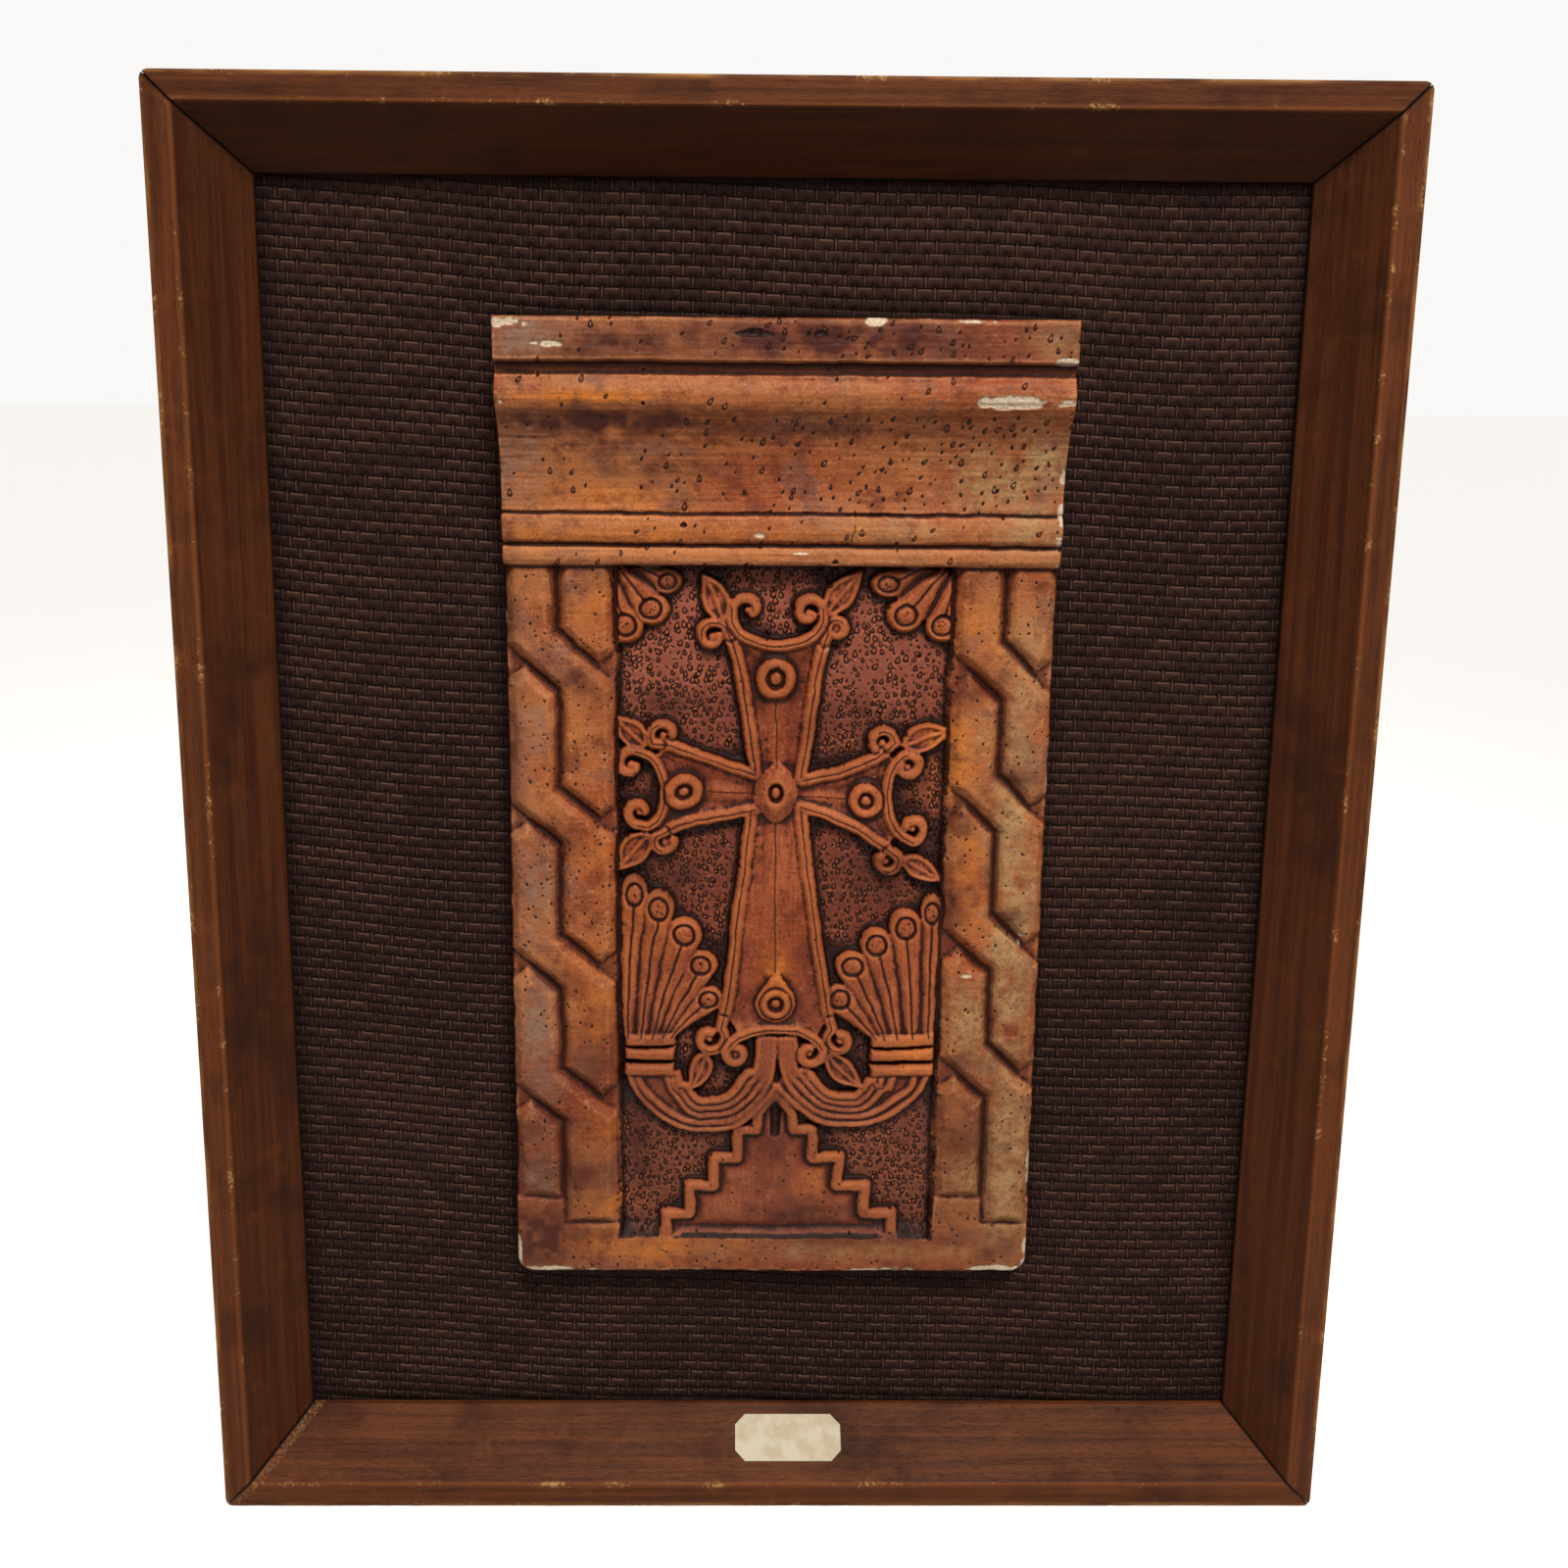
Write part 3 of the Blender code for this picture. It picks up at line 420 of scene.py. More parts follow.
# Cross. Each arm has two edges that run out from the middle and end in scrolls (centre, end radius, turn),
# and a scooped end line whose two ends curl inwards.
ARMS = {
    "up": {
        "edges": (
            [(-6.3, 20), (-8.6, 36), (-10.4, 46), (-12.6, 55), (-14.6, 60.5)],
            [(6.2, 19.5), (7.9, 36), (9.4, 46), (11, 54), (12.6, 59.5)],
        ),
        "outward": (((-18.3, 58.4), 1.6, 330), ((15.2, 60.6), 1.6, -330)),
        "end": [(-13.2, 66), (-12.7, 61.5), (-9.5, 57.8), (-1, 55.6), (7.5, 58), (11, 62), (11.4, 66)],
        "inward": (((-9, 65.4), 1.4, -200), ((7.3, 65), 1.4, 300)),
        "ridge": [(-0.6, 22), (-1.5, 41)],
    },
    "left": {
        "edges": (
            [(-6.5, 20), (-14.5, 22.6), (-22, 25.6), (-29.5, 28.3), (-34.3, 29.0)],
            [(-6, 10.3), (-13, 8.8), (-21, 7.3), (-28, 5.2), (-33.6, 2.8)],
        ),
        "outward": (((-31.4, 31.2), 2.6, -215), ((-31.2, 0.9), 2.2, 230)),
        "end": [(-39, 27), (-34.6, 25), (-32, 20), (-31.1, 14.5), (-32.1, 9), (-35.2, 5.8), (-38.5, 5.8)],
        "inward": (((-40.3, 23), 1.6, 250), ((-38.2, 9.4), 1.6, -250)),
        "ridge": [(-6, 14.5), (-21, 14.6)],
    },
    "right": {
        "edges": (
            [(6.8, 18.6), (14.5, 20.3), (21.5, 22.8), (27.5, 26), (31.6, 29.2)],
            [(6.2, 11), (14.5, 8.2), (21.5, 5), (28, 1.2), (33.4, -3.0)],
        ),
        "outward": (((28.0, 29.4), 2.6, 220), ((30.2, -4.4), 2.0, -250)),
        "end": [(34.5, 26.2), (32, 23.6), (30.3, 19.5), (29.7, 14.5), (30.8, 8.5), (33.6, 3.6), (37.2, 1.2)],
        "inward": (((35.2, 22.6), 1.7, -290), ((37, 5), 1.8, 240)),
        "ridge": [(5.5, 14), (19, 13.2)],
    },
    "down": {
        "edges": (
            [(-7.3, 9.5), (-9, -6), (-10.8, -20), (-12.6, -35), (-13.8, -47), (-15.3, -54.2)],
            [(6.4, 10), (8.2, -6), (10.3, -20), (12.3, -35), (14.2, -47), (16, -53.8)],
        ),
        "outward": (((-18.4, -57.4), 1.9, -330), ((18.2, -57.2), 1.8, 320)),
        "end": [
            (-13.4, -59.6), (-10.5, -56.8), (-5.5, -54.8), (0, -54), (6.5, -54.8), (11.5, -57), (13.4, -59.4),
        ],
        "inward": (((-11.2, -61.6), 1.7, 300), ((9.9, -61.2), 1.7, -300)),
        "ridge": [(-0.4, 7), (-0.5, -37)],
    },
}
ROUND_BOSSES = (((-1.5, 46.8), 5.3, 6.0, 2.6), ((-26.2, 15), 5.2, 5.0, 2.2), ((24, 13), 4.6, 5.3, 2.1))
CROSS_MIDDLE = (-0.5, 15.0)
DROP_BOSS = (-0.4, -46.3)
DROP_TIP = (0, -36.4)
SCROLL_EYE = 1.1

# Leaves: root, tip, width and sideways bend
LEAVES = (
    ((-15.5, 62.5), (-20.8, 74.8), 6.6, -0.8),
    ((12.6, 64.5), (21.5, 76), 6.4, 0.6),
    ((-36.5, 28.4), (-44.4, 35.8), 6.2, 0),
    ((-35.5, 3.2), (-44.2, -7.0), 7.2, 0),
    ((34, 28.6), (46, 33.0), 6.6, 0),
    ((35, -3.5), (45, -9.8), 5.4, 0),
    ((-19.6, -61.5), (-24.2, -72), 5.8, 2),
    ((15, -61.5), (24.5, -71.6), 6.0, -1),
)

# Petals: foot, head centre, head half width and half height, width at the foot
PALMETTES = (
    ((-38, 77.5), (-30.2, 73.2), 3.6, 3.2, 2.2),
    ((-43.5, 77), (-34.6, 65.8), 4.4, 4.2, 2.4),
    ((-45.6, 74), (-41.6, 61.4), 4.4, 4.6, 2.4),
    ((38, 77.5), (28.4, 72.6), 4.0, 3.4, 2.2),
    ((43.6, 77), (33.2, 64.2), 4.5, 4.4, 2.6),
    ((46.4, 75), (43.2, 61.4), 4.2, 4.4, 2.6),
)
WINGS = (
    ((-41.8, -56), (-39.6, -14.5), 3.5, 5.4, 3.0),
    ((-38.0, -56), (-32.8, -18.8), 4.0, 5.2, 3.0),
    ((-34.8, -56), (-25.8, -26), 4.6, 4.6, 2.6),
    ((-31.8, -56), (-21.2, -34.8), 4.3, 4.2, 2.4),
    ((-29.4, -56), (-19, -45.2), 4.1, 3.8, 2.2),
    ((43.2, -56), (43.2, -19.5), 2.8, 5.2, 3.2),
    ((39, -56), (36, -24), 4.2, 5.4, 3.4),
    ((34.8, -56), (28, -29), 4.2, 4.6, 3.0),
    ((31.2, -56), (21.4, -35.6), 4.4, 4.2, 2.6),
    ((28.6, -56), (18, -45), 4.2, 4.0, 2.4),
)

# Collars round the wings' feet: left and right ends, the bars' heights and half of a bar's height
COLLARS = ((-42.8, -28.2), (27.0, 44.8))
COLLAR_BARS = (-56.9, -61.3, -66.2)
COLLAR_HALF = 1.9

# Stalks under the wings, outermost first: start beside the middle, lowest point, and where they rise again
LEFT_STALKS = (
    (41.2, -84.2, -0.2), (39.0, -82.1, 0.5), (30.6, -80.0, 1.8), (29.2, -77.9, 3.2), (27.6, -75.8, 4.6),
)
RIGHT_STALKS = (
    (43.0, -82.8, 0.4), (39.6, -80.4, 1.4), (33.4, -78.2, 2.7), (30.6, -76.2, 4.0), (28.4, -74.4, 5.2),
)
STALKS = ((-1, 20, LEFT_STALKS), (1, 22, RIGHT_STALKS))

# Stepped base: first and last riser of each side, where the lowest starts, the steps' number, their lowest
# and highest tread, the top, the ends of the dark opening under it, and the dark line along the sill
STEP_SIDES = ((-30.9, -10.6), (34.0, 11.0))
STEP_START = -118.5
STEP_COUNT = 4
STEP_LOWEST = -111.1
STEP_HIGHEST = -84.6
STEP_APEX = (0, -73.5)
STEP_GAP = ((0.3, -79.5), (0.3, -86.0))
STEP_FOOT_LINE = ((-26, -117.4), (30, -117.6))

# Borders: heights where the straps cross, where each border's two columns meet, and the straps' ends
LEFT_CROSSINGS = (51.3, 8.3, -34.4, -74.0)
RIGHT_CROSSINGS = (49.2, 12.2, -28.0, -66.6)
LEFT_BRAID_MIDDLE = -60.2
RIGHT_BRAID_MIDDLE = 59.8
BRAID_TOP = 77.4
BRAID_END = -105.0
SILL_DROP = 1.4
LEDGE_SLOPE = 0.9
STRAP_CHAMFER = 2.6
STRAP_FALL = 2.2
STRAP_CUT = 0.25

# Cornice profile: height and distance from the back
CORNICE_TOP = [(141.6, 21.2), (140.8, 22.0), (130.6, 22.3), (130.1, 19.4), (127.4, 19.2), (126.8, 20.8)]
CORNICE_SWEEP = [
    (126.4, 20.2), (125.2, 21.3), (122.4, 21.9), (119.2, 20.9), (115.5, 18.2), (110, 15.3), (103, 13.5),
    (96, 12.8), (92, 13.2),
]
CORNICE_ROLL = (87.4, 3.7, 12.9, 1.4)
CORNICE_FILLET = [(82.9, 11.8), (82.4, 13.2), (81.0, 13.7), (79.0, 13.6), (78.2, 13.0)]

# Heights where the cornice's paint changes
FILLET_MIDDLE = 80.6
CROWN_FOOT = 128.0


def carve_leaf(field, root, tip, width, bend, top):
    root, tip = np.array(root, float), np.array(tip, float)
    axis = tip - root
    side = np.array([-axis[1], axis[0]]) / hypot(*axis)
    middle = (root + tip) / 2 + side * bend
    shares = np.linspace(0, 1, 13)
    spine = np.array([(1 - t) ** 2 * root + 2 * t * (1 - t) * middle + t * t * tip for t in shares])
    reach = np.array([side * width / 2 * sin(pi * t**0.8) for t in shares])
    outline = np.vstack([spine + reach, (spine - reach)[-2:0:-1]])
    field.plate(outline, top - 0.9, 0.6, 0.4, clear=0.5)
    field.strand(outline, 1.3, top, 0.6, closed=True)
    field.strand(spine[1:-1], 0.16 * width, top - 0.2, 0.6)


def petal_outline(foot, head, half_width, half_height, foot_width):
    foot, head = np.array(foot, float), np.array(head, float)
    axis = head - foot
    lean = degrees(atan2(axis[1], axis[0]))
    side = np.array([-axis[1], axis[0]]) / hypot(*axis)
    loop = oval(head, 1.1 * half_width, 1.1 * half_height, lean - 92, lean + 92, 22)
    return np.vstack([foot - side * foot_width / 2, loop, foot + side * foot_width / 2])


def carve_petals(field, petals, top):
    """Broad rounded petals side by side, each with a ringed eye and a cut down its middle."""
    web = [petals[0][0], *(petal[1] for petal in petals), petals[-1][0]]
    field.plate(web, top - 1.3, 0.5, 0.3)
    for petal in petals:
        field.plate(petal_outline(*petal), top, 1.5, 1.0)
    for foot, head, half_width, half_height, _ in petals:
        eye_width, eye_height = 0.56 * half_width, 0.56 * half_height
        field.dome(head, eye_width + 0.6, eye_height + 0.6, top - 1.3, 0)
        field.dome(head, eye_width, eye_height, top - 0.8, 0.7)
        field.rim(oval(head, eye_width + 0.3, eye_height + 0.3), 0.9)
        foot, head = np.array(foot, float), np.array(head, float)
        away = (foot - head) / hypot(*(foot - head))
        field.groove([head + away * (eye_height + 0.4), foot], 0.7, 0.8)


def carve_arm(field, arm, rim_top):
    end = smooth(arm["end"])
    for edge, (centre, end_radius, turn) in zip(arm["edges"], arm["outward"]):
        edge = smooth(edge)
        whole = curl(edge, centre, end_radius, turn)
        field.strand(edge, 3.6, rim_top, 0.7)
        field.strand(whole[len(edge) - 4:], 2.9, rim_top, 1.0, clear=0.45)
        field.groove(whole[:-9], 0.5, 0.5)
    (first, first_radius, first_turn), (last, last_radius, last_turn) = arm["inward"]
    whole = curl(end[::-1], first, first_radius, first_turn)[::-1]
    whole = curl(whole, last, last_radius, last_turn)
    field.strand(whole, 3.1, rim_top + 0.1, 0.9, clear=0.35)
    field.groove(end, 0.5, 0.5)
    for centre, _, _ in (*arm["outward"], *arm["inward"]):
        field.dome(centre, SCROLL_EYE, SCROLL_EYE, rim_top - 1.3, 0.8)


def carve_arm_face(field, arm, low, high):
    """The arm between its rims: scooped, rising towards both of them and to a fine ridge in the middle."""
    outline = arm_outline(arm)
    at = field.near(outline, 0)
    apart = np.full(field.x[at].shape, np.inf)
    for line in (*arm["edges"], arm["end"]):
        apart = np.minimum(apart, field.distance(at, smooth(line)))
    scoop = np.clip(1 - apart / 6.0, 0, 1) ** 2
    from_ridge = field.distance(at, np.array(arm["ridge"], float))
    ridge = 0.6 * np.clip(1 - from_ridge / 4.0, 0, 1) ** 1.5
    face = low + (high - low) * np.maximum(scoop, ridge)
    covered = field.inside(at, outline)
    field.heights[at] = np.where(covered, np.maximum(field.heights[at], face), field.heights[at])
    field.groove(arm["ridge"], 0.5, 0.3)


def arm_outline(arm):
    """The arm's two edges, joined by the middle stretch of its scooped end."""
    first, second = (smooth(edge)[:-4] for edge in arm["edges"])
    end = smooth(arm["end"])[6:-6]
    if hypot(*(end[0] - first[-1])) > hypot(*(end[-1] - first[-1])):
        end = end[::-1]
    return np.vstack([first, end, second[::-1]])


def carve_cross(field):
    floor = field.floor + 0.5 * CROSS_RISE
    rim_top = field.floor + CROSS_RISE
    boss_top = rim_top + 0.8
    field.plate(oval(CROSS_MIDDLE, 7.7, 7.7), floor + 0.6, 1.0, 0.2)
    for arm in ARMS.values():
        carve_arm_face(field, arm, floor, rim_top - 0.5)
    for arm in ARMS.values():
        carve_arm(field, arm, rim_top)
    for centre, across, high, eye in ROUND_BOSSES:
        field.boss(centre, across, high, eye, boss_top)
    drop = np.vstack([oval(DROP_BOSS, 5.6, 5.6, 150, 390, 22), DROP_TIP])
    field.plate(drop, boss_top - 0.9, 1.0, 0.6, clear=0.5)
    field.boss(DROP_BOSS, 4.4, 4.4, 2.2, boss_top - 0.2)
    middle_x, middle_z = CROSS_MIDDLE
    side = [(0, 9.2), (5.1, 4), (5.9, 0), (5.1, -4), (0, -8.6)]
    around = side + [(-x, z) for x, z in side[-2::-1]]
    diamond = smooth([(middle_x + x, middle_z + z) for x, z in around], 3)
    field.plate(diamond[:-1], boss_top, 3.2, 1.5, clear=0.4)
    field.dome(CROSS_MIDDLE, 2.1, 2.7, boss_top - 2.2, 0)
    field.dome(CROSS_MIDDLE, 1.5, 1.9, boss_top - 1.7, 0.9)
    for leaf in LEAVES:
        carve_leaf(field, *leaf, field.floor + WING_RISE)


def carve_wings(field):
    top = field.floor + WING_RISE
    carve_petals(field, PALMETTES[: len(PALMETTES) // 2], top)
    carve_petals(field, PALMETTES[len(PALMETTES) // 2 :], top)
    carve_petals(field, WINGS[: len(WINGS) // 2], top)
    carve_petals(field, WINGS[len(WINGS) // 2 :], top)
    for side, middle, stalks in STALKS:
        lines = []
        for number, (start, low, rise) in enumerate(stalks):
            route = [
                (start, -67.5),
                (0.97 * start, -71.5),
                (middle + 0.74 * (start - middle), low + 6.5 - 0.4 * number),
                (middle + 0.42 * (start - middle), low + 1.6),
                (middle, low),
                (rise + 0.55 * (middle - rise), low + 1.6),
                (rise + 3.6, low + 8.2),
            ]
            route += [(rise + 0.6, -66), (rise, -57)] if number else [(rise, -71)]
            lines.append(smooth([(side * x, z) for x, z in route]))
        field.plate(np.vstack([lines[0], lines[-1][::-1]]), top - 1.0, 0.6, 0.3)
        for line in lines:
            field.strand(line, 2.3, top + 0.1, 0.9)
        for line, following in zip(lines, lines[1:]):
            between = (line[6:-14] + following[6 : 6 + len(line) - 20]) / 2
            close = np.hypot(*(line[6:-14] - following[6 : 6 + len(line) - 20]).T) < 3.2
            field.groove(between[close], 0.5, 0.3)
    for left, right in COLLARS:
        for z in COLLAR_BARS:
            low, high = z - COLLAR_HALF, z + COLLAR_HALF
            bar = [(left, low), (right, low), (right, high), (left, high)]
            field.plate(bar, top + 0.6, 1.0, 0.7, clear=0.3)


def step_line(first, last):
    """Risers and treads from under the sill up to the apex."""
    across = np.linspace(first, last, STEP_COUNT)
    heights = np.linspace(STEP_LOWEST, STEP_HIGHEST, STEP_COUNT)
    line = [(first, STEP_START)]
    for x, following, z in zip(across, [*across[1:], last / 2], heights):
        line += [(x, z), (following, z)]
    return np.array(line + [(0.45 * last, STEP_GAP[0][1]), STEP_APEX])


def carve_steps(field):
    top = field.floor + STEP_RISE
    sides = [step_line(first, last) for first, last in STEP_SIDES]
    field.plate(np.vstack([sides[0], sides[1][::-1]]), field.floor + 1.3, 7.0, 1.2)
    for line in sides:
        field.strand(line, 3.4, top, 0.9)
    field.groove(STEP_GAP, 3.4, 1.6)
    field.groove(STEP_FOOT_LINE, 1.3, 0.5)


def strap_outlines(left, right, middle, crossings, top, end):
    """Outlines of a two-strap braid: every strap comes down the left column and crosses to the right one."""
    left_of, right_of = middle - STRAP_CUT, middle + STRAP_CUT
    first = crossings[0]
    point = [(right, first + 3.4), (right - 4.2, first - 0.2), (right_of, first + 8.8)]
    yield [(right_of, top), (right, top)] + point
    above = None
    for here, below in zip(crossings, [*crossings[1:], None]):
        outline = [(left, top), (left_of, top)]
        if above is not None:
            outline = [(left, above - 5.0), (left + 4.6, above - 1.4), (left_of, above - 8.6)]
        outline += [(left_of, here + 8.2), (right, here - 6.0)]
        if below is None:
            outline += [(right, end - 8), (right_of, end - 8)]
        else:
            outline += [(right, below + 3.4), (right - 4.2, below - 0.2), (right_of, below + 8.8)]
        yield outline + [(right_of, here - 7.6), (left, here + 4.4)]
        above = here
    peak = [(left, above - 5.0), (left + 4.6, above - 1.4), (left_of, above - 8.6)]
    yield peak + [(left_of, end), (left, end)]


def carve_border(border, left, right, middle, crossings):
    top = border.floor + BRAID_RISE
    covered = (border.x > left - 1) & (border.x < right + 1) & (border.z < BRAID_TOP)
    border.heights[covered] = top - 3.0
    border.heights[covered & (border.z < BRAID_END)] = top - 1.3
    for outline in strap_outlines(left, right, middle, crossings, BRAID_TOP + 2, BRAID_END):
        border.plate(outline, top, STRAP_CHAMFER, STRAP_FALL, clear=STRAP_CUT, depth=2.4)


def cornice_profile():
    """Heights and distances from the back, from the fillet at the foot to the top."""
    roll_z, roll_radius, roll_back, roll_rise = CORNICE_ROLL
    points = CORNICE_TOP + [tuple(point) for point in smooth(CORNICE_SWEEP)]
    points.append((CORNICE_SWEEP[-1][0] - 0.6, roll_back - 1.0))
    half_turn = np.linspace(0, pi, 13)
    points += [(roll_z + roll_radius * cos(a), roll_back + roll_rise * sin(a)) for a in half_turn]
    points += CORNICE_FILLET
    return np.array(sorted(points))


def softened(values, sigma):
    """A Gaussian blur over a grid, with the rim repeated outwards."""
    reach = max(1, int(3 * sigma))
    weights = np.exp(-0.5 * (np.arange(-reach, reach + 1) / sigma) ** 2)
    weights /= weights.sum()
    for _ in range(2):
        padded = np.pad(values, ((reach, reach), (0, 0)), "edge")
        total = np.zeros(values.shape)
        for offset, weight in enumerate(weights):
            total += weight * padded[offset : offset + values.shape[0]]
        values = total.T
    return values


def rough_field(shape, pitch, size, seed, size_down=None):
    """Smooth random values, about -1 to 1, that vary over size millimetres across (and size_down down)."""
    draw = np.random.default_rng(seed)
    down = size_down or size
    coarse = draw.standard_normal((int(shape[0] * pitch / down) + 4, int(shape[1] * pitch / size) + 4))
    rows = np.arange(shape[0]) * pitch / down + 1
    columns = np.arange(shape[1]) * pitch / size + 1
    for axis, at in ((0, rows), (1, columns)):
        low = at.astype(int)
        share = at - low
        ease = share * share * (3 - 2 * share)
        ease = ease[:, None] if axis == 0 else ease[None]
        coarse = np.take(coarse, low, axis) * (1 - ease) + np.take(coarse, low + 1, axis) * ease
    return coarse * 0.8


# Where the paint is warmer, smokier or dustier, and where it has chipped off: middle, half width, half height
# and strength. The smoky spots are partly painted shade: the cove under the cornice's bead, the field under
# its fillet, the opening under the steps' apex and the lower ground.
AMBER = (
    (-55, 121.6, 22, 1.6, 0.9), (-50, 84, 26, 3.5, 0.8), (-42, 95, 14, 4, 0.6), (5, 87, 60, 3.0, 0.35),
    (0, 80.8, 70, 1.2, 0.55), (47, 27, 6, 12, 0.9), (53, -4, 4, 12, 0.5), (-50, 66, 9, 9, 0.35),
    (56, -20, 5, 9, 0.5), (-60, 30, 9, 14, 0.3), (-48, -107, 9, 4, 0.6), (38, -60, 9, 6, 0.55),
    (0, -38, 4, 9, 0.7), (-40, -119.5, 26, 2, 0.5), (-50, -36, 6, 9, 0.35), (15, -100, 9, 9, 0.3),
    (-38, -20, 8, 18, 0.3), (50, 60, 10, 8, 0.4), (-50, -84, 6, 5, 0.5), (-50, -48, 5, 12, 0.5),
    (-32, -122, 16, 4, 0.6), (-50, 0, 5, 12, 0.4), (40, -66, 8, 4, 0.6),
)
SMOKE_AND_SHADE = (
    (-42, 115.2, 32, 3.2, 1.0), (15, 114.0, 40, 2.2, 0.45), (5, 137, 42, 4.5, 0.65), (-30, 104, 26, 4, 0.3),
    (-66, -117, 10, 9, 1.0), (-70, -92, 3, 22, 0.4), (-50, -60, 6, 12, 0.4), (-50, 47, 9, 5, 0.5),
    (50, 46, 10, 5, 0.45), (-60, 2, 9, 5, 0.45), (50, 8, 5, 5, 0.6), (-60, -40, 9, 5, 0.4),
    (-62, -81, 9, 4, 0.5), (-72, 40, 3, 60, 0.35), (0, 73.5, 60, 3.5, 0.4), (66, -122, 8, 5, 0.4),
    (20, 136, 50, 5, 0.8), (-40, 134, 22, 4, 0.5), (28, -8, 10, 9, 0.6), (-30, -10, 10, 7, 0.6),
    (-30, 40, 12, 5, 0.5), (20, 36, 12, 6, 0.4), (-38, -90, 5, 18, 0.5), (-62, -98, 13, 9, 0.45),
    (0, -90, 9, 6, 0.4), (30, -118, 30, 3, 0.35), (56, -90, 10, 12, 0.3), (48, -12, 4, 12, 0.6),
    (-57, -100, 4, 10, 0.5), (0.5, -80, 3, 5, 1.0), (-66, -120, 9, 8, 1.0), (12, -112, 18, 4, 0.6),
    (64, -20, 6, 3, 0.5), (64, -62, 6, 3, 0.5), (64, 20, 6, 3, 0.5), (50, -80, 5, 14, 0.35),
)
DUST = (
    (-69, 107, 6, 12, 0.8), (-66, 136, 9, 5, 1.0), (58, 103, 18, 12, 0.8), (66, 88, 10, 7, 0.9),
    (30, 87.5, 30, 3, 0.4), (68, 136, 8, 4, 0.5), (64, -20, 7, 60, 1.0), (66, -92, 7, 26, 0.9),
    (66, 48, 6, 16, 0.7), (-70, 10, 3, 50, 0.5), (-67, -54, 5, 14, 1.0), (20, -122, 50, 3, 0.35),
    (-67, -97, 5, 9, 0.8), (-66, -14, 6, 14, 0.7), (-66, 34, 5, 9, 0.5), (54, -50, 8, 12, 0.6),
    (54, 30, 6, 10, 0.3), (56, -96, 8, 12, 0.5),
)
CHIPS = (
    (-70, 139.6, 6, 1.5, 0.8), (-62, 134.5, 7, 1.0, 0.5), (-74, 134, 1.2, 6, 0.7),
    (-72, 121, 3.0, 1.8, 0.8), (58, 120.8, 15, 1.5, 1.0), (70, 131, 5, 0.8, 0.8), (22, 140.6, 3, 1.3, 0.8),
    (48, 140.8, 8, 0.5, 0.6), (73, 96, 1.2, 12, 0.7), (72.5, 84, 1.6, 6, 0.9), (-66, -127.6, 7, 1.1, 0.9),
    (-53, -128, 2.5, 0.8, 0.8), (-20, -128, 3, 0.7, 0.8), (35, -128, 11, 0.9, 0.9),
    (66, -127.6, 7, 1.2, 0.9), (73, -97, 0.8, 6, 0.9), (-73.4, -122, 0.8, 5, 0.8),
    (73.2, -122, 0.9, 5, 0.9), (53, -37, 1.8, 0.7, 0.7), (40, -42, 0.6, 1.4, 0.8), (13, 55, 0.7, 0.7, 0.9),
    (-73.6, 60, 0.5, 8, 0.6), (73.4, 20, 0.5, 10, 0.6), (-6, 86, 1.2, 0.7, 0.9),
    (-30, -128.2, 20, 0.4, 0.5), (5, 81.2, 3, 0.5, 0.5), (68, -26, 1.2, 2.4, 0.6), (26, 20, 1.0, 0.8, 0.7),
)

# Single holes and dents in the cornice: middle, half width and half height
HOLES = (
    (-8, 137.6, 5.0, 1.2), (8.5, 137.6, 1.9, 1.0), (14, 78.9, 1.0, 0.8), (-26, 88.6, 1.0, 0.8),
    (-36, 120, 0.6, 0.6), (30, 84, 0.5, 0.5),
)

# Marks on the ground: their spacing, and the half width of the line round a ring-shaped one
MARK_COLUMNS = 1.85
MARK_ROWS = 1.95
RING_LINE = 0.19


